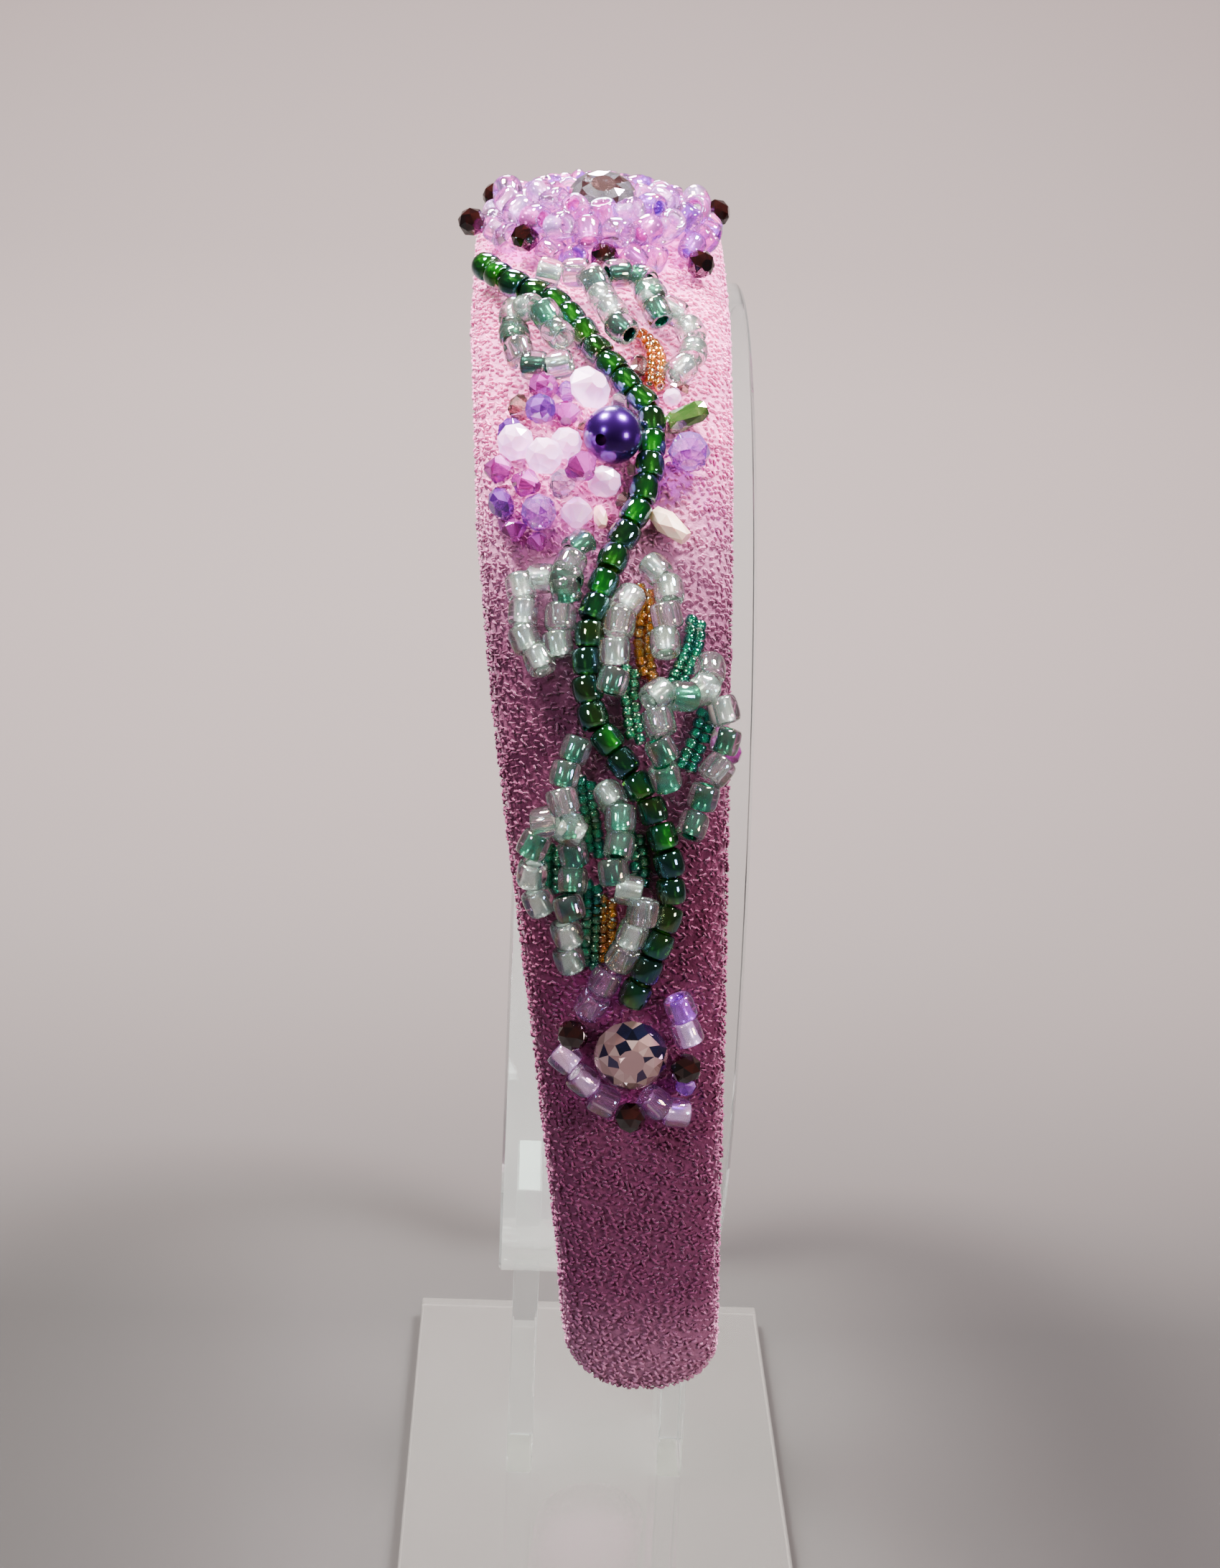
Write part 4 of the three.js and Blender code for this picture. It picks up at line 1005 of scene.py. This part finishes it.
for seed, (strand, (lift, places)) in enumerate(SEED_STRANDS.items(), start=41):
    colour = strand.split("_")[0]
    piece = string_beads(f"{strand}_beads", side_by_side(places, lift, SEED_GAP), bead_seed, SEED_PITCH,
                         SEED_GLASS[colour], seed_lining, seed, wobble=0.4)
    settle(piece, strand)

# %% [markdown]
# ## Flowers of lined beads
#
# The crown flower is a mound of lilac-lined beads sewn every way up round a clear stone, so
# its beads wobble freely. Dark garnets stand at its edge. The lower flower is a looser ring
# of the same beads round a dark peach stone.

# %% Crown flower beads
CROWN_ACROSS, CROWN_ALONG = -6.0, 18.0
CROWN_PITCH = 4.05
# Degrees between the places that an arc is drawn through
ARC_STEP = 12
# Radius from the stone, lift over the cloth, and the arc in degrees
CROWN_ARCS = [
    (6.9, 3.8, 0, 360), (10.8, 3.4, 0, 360), (8.9, 6.2, 20, 160), (13.0, 5.6, -5, 185),
    (14.7, 2.5, -6, 34), (14.7, 2.5, 63, 74), (14.7, 2.5, 105, 117), (14.7, 2.5, 149, 193),
    (14.7, 2.5, 221, 326),
]


def crown_arc(radius, lift, start, end):
    """A path round the crown stone."""
    whole = end - start == 360
    steps = max(2, round((end - start) / ARC_STEP))
    points = []
    for i in range(steps if whole else steps + 1):
        turn = math.radians(start + (end - start) * i / steps)
        across = CROWN_ACROSS + radius * math.cos(turn)
        along = CROWN_ALONG + radius * math.sin(turn)
        points.append(on_band(across, along, lift))
    return smooth_path(points, whole, pieces=6), whole


crown_beads = string_beads("crown_bead_mound", [crown_arc(*arc) for arc in CROWN_ARCS], bead_round,
                           CROWN_PITCH, lilac_glass, lilac_lining, seed=61, wobble=1.5, sizes=(0.92, 1.08),
                           lined=0.8)
settle(crown_beads, "crown_flower_beads")

# %% Lower flower beads
LOWER_STRINGS = [
    [(-3.2, 133.2, 2.3), (-4.6, 136.2, 2.3)],
    [(-7.6, 143.6, 2.3), (-5.3, 146.4, 2.3), (-2.6, 149.0, 2.3)],
    [(3.8, 149.0, 2.3), (6.6, 150.4, 2.3)],
    [(7.4, 139.6, 2.3), (6.4, 136.4, 2.3)],
]
lower_beads = string_beads("lower_bead_ring", [through(rows) for rows in LOWER_STRINGS], bead_square,
                           LEAF_PITCH, lilac_glass, lilac_lining, seed=62, wobble=0.3, lined=0.55)
settle(lower_beads, "lower_flower_beads")
remove(bead_round, bead_square, bead_seed)

# %% [markdown]
# ## Cut stones
#
# A cut bead is ground flat, facet by facet, so its faces meet in sharp edges and each one
# mirrors a different part of the room. Rings of corners are laid round the axis, every
# second ring turned by half a step, and the convex hull over them gives flat facets. Each
# facet's colour also gets a random painted shade, between light and dark, for what it mirrors.

# %% Facets from rings of corners
# Radius and height of each ring as shares of half the width and half the length
CUTS = {
    "bicone": (8, [(0.38, 1.0), (1.0, 0.1), (1.0, -0.1), (0.38, -1.0)]),
    "round": (8, [(0.42, 0.98), (0.82, 0.62), (1.0, 0.0), (0.82, -0.62), (0.42, -0.98)]),
    "net": (10, [(0.4, 0.94), (0.8, 0.64), (1.0, 0.0), (0.8, -0.64), (0.4, -0.94)]),
    "tube": (8, [(0.8, 1.0), (1.0, 0.62), (1.0, -0.62), (0.8, -1.0)]),
    "chip": (6, [(0.62, 1.0), (0.95, 0.35), (1.0, -0.3), (0.7, -1.0)]),
    "set": (12, [
        (0.36, 0.98), (0.64, 0.84), (0.87, 0.5), (1.0, 0.1), (1.0, -0.04), (0.62, -0.45), (0.16, -0.9),
    ]),
}
# Random painted shades of the facets, in place of the light and dark that each one mirrors
FACET_PAINTED_SHADES = random.Random(5)
# Faces that meet in less than this lie in one facet
FLAT_ANGLE = math.radians(1.5)
# A set stone has foil where it faces away from its axis, and darker glass on facets from this painted shade
# on
FOIL_FACING = -0.05
DARK_PAINTED_SHADE = 0.72


def stand_up(bm, place, axis):
    """Moves a bmesh to its place and turns its Z to the axis."""
    turn = Vector((0, 0, 1)).rotation_difference(axis)
    bmesh.ops.transform(bm, matrix=Matrix.Translation(place) @ turn.to_matrix().to_4x4(), verts=bm.verts[:])


def cut_stone(name, cut, width, length, place, axis, *materials):
    """A faceted stone whose table faces along the axis, of glass or of glass, foil and dark glass."""
    sides, rings = CUTS[cut]
    bm = bmesh.new()
    for level, (radius, height) in enumerate(rings):
        for i in range(sides):
            turn = 2 * math.pi * (i + 0.5 * (level % 2)) / sides
            bm.verts.new((
                radius * width / 2 * math.cos(turn) * MM,
                radius * width / 2 * math.sin(turn) * MM,
                height * length / 2 * MM,
            ))
    hull = bmesh.ops.convex_hull(bm, input=bm.verts[:])
    bmesh.ops.delete(bm, geom=hull["geom_interior"], context="VERTS")
    bmesh.ops.dissolve_limit(bm, angle_limit=FLAT_ANGLE, verts=bm.verts[:], edges=bm.edges[:])
    stand_up(bm, place, axis)
    bmesh.ops.recalc_face_normals(bm, faces=bm.faces[:])
    made = add_object(name, mesh_from(bm, name, smooth=False), *materials)
    tone = made.data.attributes.new("tone", "FLOAT", "FACE")
    for polygon in made.data.polygons:
        # Each facet gets a random painted shade
        depth = FACET_PAINTED_SHADES.random()
        tone.data[polygon.index].value = depth
        if len(materials) > 1:
            facing = polygon.normal.dot(axis)
            polygon.material_index = 1 if facing < FOIL_FACING else 2 if depth > DARK_PAINTED_SHADE else 0
    return made


def stone_axis(along, turn, tip):
    """Direction of a stone's hole from its turn in the cloth and its tip out of it, in degrees."""
    _, out, _ = line_at(along)
    out = Vector((0, out.x, out.y))
    across = Vector((1, 0, 0))
    down = across.cross(out)
    a, b = math.radians(turn), math.radians(tip)
    return across * math.cos(a) * math.cos(b) + down * math.sin(a) * math.cos(b) + out * math.sin(b)


# %% Glass of the cut stones
# Lamps shine through glass that is clearer than this
LAMPS_THROUGH = 0.5


def cut_glass(name, tint, clearness, film, roughness=0.02, milkiness=0.0):
    """Polished glass with painted shades: each facet a random shade between a pale and a deep tint, for
    what it mirrors, and a painted rim shade.
    """
    material, tree, shader = new_material(name, {
        "Transmission Weight": clearness, "Roughness": roughness, "IOR": 1.6,
        "Subsurface Weight": milkiness, "Subsurface Scale": 0.001, "Thin Film Thickness": film,
        "Thin Film IOR": 1.9, "Coat Weight": 0.6, "Coat Roughness": 0.02, "Coat IOR": 1.75,
    })
    tone = add_node(tree, "ShaderNodeAttribute", attribute_name="tone")
    mix = add_node(tree, "ShaderNodeMix", {
        MIX_A: linear(tint[0]), MIX_B: linear(tint[1]), MIX_FACTOR: tone.outputs["Fac"],
    }, data_type="RGBA")
    paint_rim_shade(tree, shader, mix.outputs[MIX_RESULT], tint[2], CUT_RIM_SHADE_BLEND)
    if clearness > LAMPS_THROUGH:
        let_lamps_through(material, tint[1])
    return material


STONE_GLASS = {
    # name, pale and deep painted facet shades, painted rim shade, clearness, film in nanometres, roughness,
    # milkiness
    "opal": cut_glass("milk opal glass", ("FDE6FA", "F0CCF0", "E0B8E6"), 0.55, 0.0, 0.35, 0.6),
    "pink": cut_glass("pink crystal", ("E868E0", "740A60", "4A0640"), 0.6, 0.0),
    "violet": cut_glass("violet crystal", ("C070F0", "4C0A74", "38085C"), 0.6, 0.0),
    "smoke": cut_glass("smoky rose crystal", ("D8B4AC", "4A2C2A", "2C1A18"), 0.8, 300.0),
    "clear": cut_glass("clear crystal", ("FFFFFF", "8A8698", "4C4858"), 0.9, 460.0),
    "lilac": cut_glass("lilac crystal", ("E4A8FA", "7E30A4", "501C70"), 0.75, 0.0),
    "garnet": cut_glass("garnet crystal", ("2C0E0A", "070203", "060203"), 0.3, 0.0),
    "green": cut_glass("olive green glass", ("7CC058", "143C0E", "061804"), 0.6, 220.0),
    "cream": cut_glass("cream shell", ("FFE6D0", "E8C4AA", "C8A48E"), 0.05, 0.0, 0.3, 0.3),
    "peach": cut_glass("peach crystal", ("FFE0D0", "7A3430", "4C1C20"), 0.45, 430.0),
    "ink": cut_glass("ink blue crystal", ("303A6C", "050508", "08080E"), 0.4, 300.0),
}
foil = new_material("mirror foil", {
    "Base Color": linear("D9D2DE"), "Metallic": 1.0, "Roughness": 0.08,
})[0]


def sew_stone(name, node, cut, glass, across, along, lift, width, length, turn, tip, *more):
    """Cuts a stone and sews it to the band. It stands for its node, where it has one."""
    stone = cut_stone(name, cut, width, length, on_band(across, along, lift), stone_axis(along, turn, tip),
                      STONE_GLASS[glass], *more)
    settle(stone, node)


# %% Stones of the flowers
STONES = [
    # node, cut, glass, across, along, lift, width, length, turn, tip
    ("opal_1", "bicone", "opal", -7.4, 59.8, 5.2, 5.8, 4.6, 20, 60),
    ("opal_2", "round", "opal", -16.5, 67.8, 5.6, 4.8, 4.4, 70, 50),
    ("opal_3", "round", "opal", -12.9, 70.8, 7.2, 4.8, 4.4, 30, 60),
    ("opal_4", "round", "opal", -10.2, 67.2, 4.0, 4.2, 3.8, 30, 60),
    ("opal_5", "round", "opal", -5.3, 72.0, 3.4, 4.2, 4.2, 40, 40),
    ("opal_6", "bicone", "opal", -8.6, 76.0, 2.8, 4.2, 3.8, 90, 10),
    ("fuchsia_bead", "net", "pink", -13.3, 57.6, 2.6, 3.8, 3.8, 20, 20),
    ("smoke_crystal", "bicone", "smoke", -16.2, 60.6, 2.4, 3.6, 3.4, 40, 30),
    ("rose_crystal", "bicone", "pink", -10.3, 61.7, 2.3, 3.8, 3.6, 90, 20),
    ("violet_bead", "net", "violet", -13.5, 62.6, 4.6, 4.0, 3.8, 30, 30),
    ("violet_crystal", "bicone", "violet", -17.3, 63.8, 2.2, 3.4, 3.2, 60, 30),
    ("magenta_crystal", "bicone", "pink", -18.4, 70.2, 3.6, 4.0, 3.6, 20, 20),
    ("mauve_crystal", "bicone", "pink", -8.3, 71.8, 6.6, 4.4, 4.2, 60, 20),
    ("grey_crystal", "bicone", "clear", -10.6, 72.4, 3.2, 3.8, 3.6, 30, 40),
    ("pink_crystal", "bicone", "pink", -15.0, 72.7, 4.1, 3.8, 3.6, 30, 20),
    ("violet_rondelle", "round", "violet", -18.0, 74.2, 2.2, 4.4, 2.8, 150, 10),
    ("clear_violet_crystal", "net", "lilac", -13.3, 76.2, 3.2, 4.8, 4.2, 20, 30),
    ("plum_crystal", "bicone", "pink", -16.3, 77.7, 1.9, 3.2, 3.0, 80, 10),
    ("lilac_round_bead", "net", "lilac", 5.3, 66.9, 3.2, 5.4, 4.8, 90, 10),
    ("green_tube_bead", "tube", "green", 5.0, 60.8, 2.0, 3.0, 5.4, -28, 8),
    ("cream_chip", "chip", "cream", 3.1, 76.7, 1.9, 3.0, 5.4, 42, 4),
    ("crown_garnet_1", "round", "garnet", -23.6, 23.0, 7.7, 4.0, 3.6, 60, 10),
    ("crown_garnet_2", "round", "garnet", -20.6, 10.5, 3.8, 4.0, 3.6, 20, 10),
    ("crown_garnet_3", "round", "garnet", -16.3, 28.6, 3.7, 4.0, 3.6, 30, 40),
    ("crown_garnet_4", "round", "garnet", -5.7, 32.6, 3.0, 4.0, 3.6, 70, 20),
    ("crown_garnet_5", "round", "garnet", 10.2, 10.6, 3.8, 4.0, 3.6, 10, 10),
    ("crown_garnet_6", "round", "garnet", 7.2, 30.8, 2.6, 4.0, 3.6, 60, 20),
    ("lower_garnet_1", "round", "garnet", -6.8, 139.8, 3.8, 4.0, 3.6, 30, 30),
    ("lower_garnet_2", "round", "garnet", 0.7, 150.1, 4.4, 4.0, 3.6, 20, 30),
    ("lower_garnet_3", "round", "garnet", 7.4, 143.8, 3.8, 4.0, 3.6, 60, 30),
]
for node_name, *row in STONES:
    sew_stone(f"{node_name}_cut", node_name, *row)

# %% Small stones between them, which the frame doesn't have
SMALL_STONES = [
    # piece, cut, glass, across, along, lift, width, length, turn, tip
    ("small_clear_crystal", "bicone", "clear", -3.6, 59.4, 1.9, 2.8, 2.6, 30, 30),
    ("small_smoke_crystal", "bicone", "smoke", -7.6, 63.6, 1.8, 3.0, 2.8, 60, 20),
    ("small_lilac_crystal", "bicone", "lilac", -10.2, 58.0, 2.0, 3.0, 2.8, 20, 30),
    ("small_plum_crystal", "bicone", "pink", -13.4, 79.4, 1.8, 2.8, 2.6, 70, 20),
    ("small_mauve_crystal", "bicone", "smoke", -2.9, 73.6, 1.6, 2.4, 2.2, 40, 30),
    ("small_cream_chip", "chip", "cream", -5.6, 75.8, 1.4, 1.8, 2.8, 80, 4),
    ("small_white_bead", "round", "opal", 3.2, 57.6, 1.6, 2.4, 2.2, 20, 20),
    ("small_brown_chip", "chip", "smoke", 4.2, 55.9, 1.4, 2.0, 2.4, 10, 4),
    ("topaz_barrel", "tube", "smoke", -1.3, 53.4, 1.9, 2.4, 3.2, 100, 6),
    ("side_mauve_bead", "round", "pink", 11.4, 104.6, 1.6, 3.2, 3.0, 20, 10),
    ("small_lilac_bead", "round", "lilac", 7.6, 147.0, 1.9, 2.6, 2.4, 20, 20),
]
for name, *row in SMALL_STONES:
    sew_stone(name, None, *row)

# %% [markdown]
# ## Foiled stones
#
# The stones in the middle of the flowers are set flat and backed with mirror foil, which
# throws the light back through the upper facets. So the faces that look down carry foil, and
# the upper facets of the deepest painted shade have a darker glass, painted dark for what they mirror.

# %% Crown stone and lower stone
SET_STONES = [
    # node, glass of the painted dark facets, glass, across, along, lift, width, height, turn, tip
    ("crown_stone", "smoke", "clear", -6.0, 18.4, 5.0, 9.4, 4.6, 90, 68),
    ("lower_stone", "ink", "peach", 0.5, 142.6, 2.6, 9.2, 4.6, 90, 90),
]
for node_name, dark, *row in SET_STONES:
    sew_stone(f"{node_name}_cut", node_name, "set", *row, foil, STONE_GLASS[dark])

# %% [markdown]
# ## The dark pearl
#
# A glass pearl is a round bead dipped in pearl essence: a dark purple ground under a clear
# coat, with a soft metallic depth. Its drilled hole faces left and down.

# %% Pearl
PEARL_DIAMETER = 7.4
PEARL_HOLE = 1.5
PEARL_ACROSS, PEARL_ALONG, PEARL_LIFT = -4.4, 66.2, 4.6
# Turn in the cloth and tip out of it of the pearl's hole, in degrees
PEARL_TURN, PEARL_TIP = 123.5, 38.6
pearl_finish, tree, shader = new_material("purple pearl coat", {
    "Metallic": 0.85,
    "Roughness": 0.24,
    "Coat Weight": 0.5,
    "Coat Roughness": 0.1,
    "Coat IOR": 1.5,
})
place = add_node(tree, "ShaderNodeTexCoord").outputs["Object"]
clouds = add_node(tree, "ShaderNodeTexNoise", {"Scale": 420.0, "Detail": 3.0, "Vector": place})
mix = add_node(tree, "ShaderNodeMix", {
    MIX_A: linear("30085C"), MIX_B: linear("401070"), MIX_FACTOR: clouds.outputs["Fac"],
}, data_type="RGBA")
tree.links.new(mix.outputs[MIX_RESULT], shader.inputs["Base Color"])


def drilled_ball(diameter, hole, sides=48, arcs=30):
    """A ball with a hole through it along Z."""
    radius = diameter / 2
    start = math.asin(hole / diameter)
    profile = []
    for i in range(arcs + 1):
        turn = start + (math.pi - 2 * start) * i / arcs
        profile.append((radius * math.sin(turn) * MM, radius * math.cos(turn) * MM))
    return turned(profile, sides)


bm = drilled_ball(PEARL_DIAMETER, PEARL_HOLE)
stand_up(bm, on_band(PEARL_ACROSS, PEARL_ALONG, PEARL_LIFT), stone_axis(PEARL_ALONG, PEARL_TURN, PEARL_TIP))
pearl = add_object("purple_pearl", mesh_from(bm, "purple_pearl"), pearl_finish)
pearl.data.set_sharp_from_angle(angle=math.radians(50))
settle(pearl, "pearl")

# %% [markdown]
# ## Floor and light
#
# A graduated grey paper sweep, dark in front and paler behind, runs up behind the stand. Two
# small hard lamps hang high on the left and on the right and put the sharp glints on the
# glass. A lamp behind lights the far side, and two weak ones fill the front.

# %% Floor
# Half the width of the paper, and depth and height along its line
SWEEP_SIDE = 1500
SWEEP = [(-900, 0), (330, 0), (430, 12), (520, 55), (585, 130), (620, 240), (640, 1200)]
paper, tree, shader = new_material("graduated grey paper", {"Roughness": 0.9})
place = add_node(tree, "ShaderNodeTexCoord").outputs["Object"]
depth = add_node(tree, "ShaderNodeSeparateXYZ", {"Vector": place}).outputs["Y"]
fade = add_node(tree, "ShaderNodeMapRange", {"From Min": 0.05, "From Max": 0.55, "Value": depth})
mix = add_node(tree, "ShaderNodeMix", {
    MIX_A: linear("262322"), MIX_B: linear("807674"), MIX_FACTOR: fade.outputs["Result"],
}, data_type="RGBA")
tree.links.new(mix.outputs[MIX_RESULT], shader.inputs["Base Color"])
bm = bmesh.new()
rows = [[bm.verts.new(Vector((side, depth, height)) * MM) for depth, height in SWEEP]
        for side in (-SWEEP_SIDE, SWEEP_SIDE)]
for i in range(len(SWEEP) - 1):
    bm.faces.new((rows[0][i], rows[1][i], rows[1][i + 1], rows[0][i + 1]))
floor = add_object("paper_sweep", mesh_from(bm, "paper_sweep"), paper)

# %% Lamps
LAMP_AIM = Vector((0, -60, 130)) * MM


def lamp(name, place, size, power, colour="FFFFFF"):
    """A square lamp that faces the headband."""
    data = bpy.data.lights.new(name, "AREA")
    data.size = size * MM
    data.energy = power
    data.color = linear(colour)[:3]
    made = bpy.data.objects.new(name, data)
    bpy.context.scene.collection.objects.link(made)
    made.location = Vector(place) * MM
    made.rotation_mode = "QUATERNION"
    made.rotation_quaternion = (LAMP_AIM - made.location).to_track_quat("-Z", "Y")


lamp("overhead", (-240, 20, 670), 130, 23.0, "FFF8F4")
lamp("high_right", (230, -30, 650), 130, 18.5, "FFF4F6")
lamp("behind", (-60, 330, 540), 160, 7.0)
lamp("front_left", (-330, -420, 420), 90, 1.8, "F6F2FF")
lamp("front_right", (420, -380, 240), 120, 2.4, "FFEAF0")
world = bpy.data.worlds.new("soft room")
world.use_nodes = True
background = world.node_tree.nodes["Background"]
background.inputs["Color"].default_value = linear("D9D3D2")
background.inputs["Strength"].default_value = 0.11
bpy.context.scene.world = world
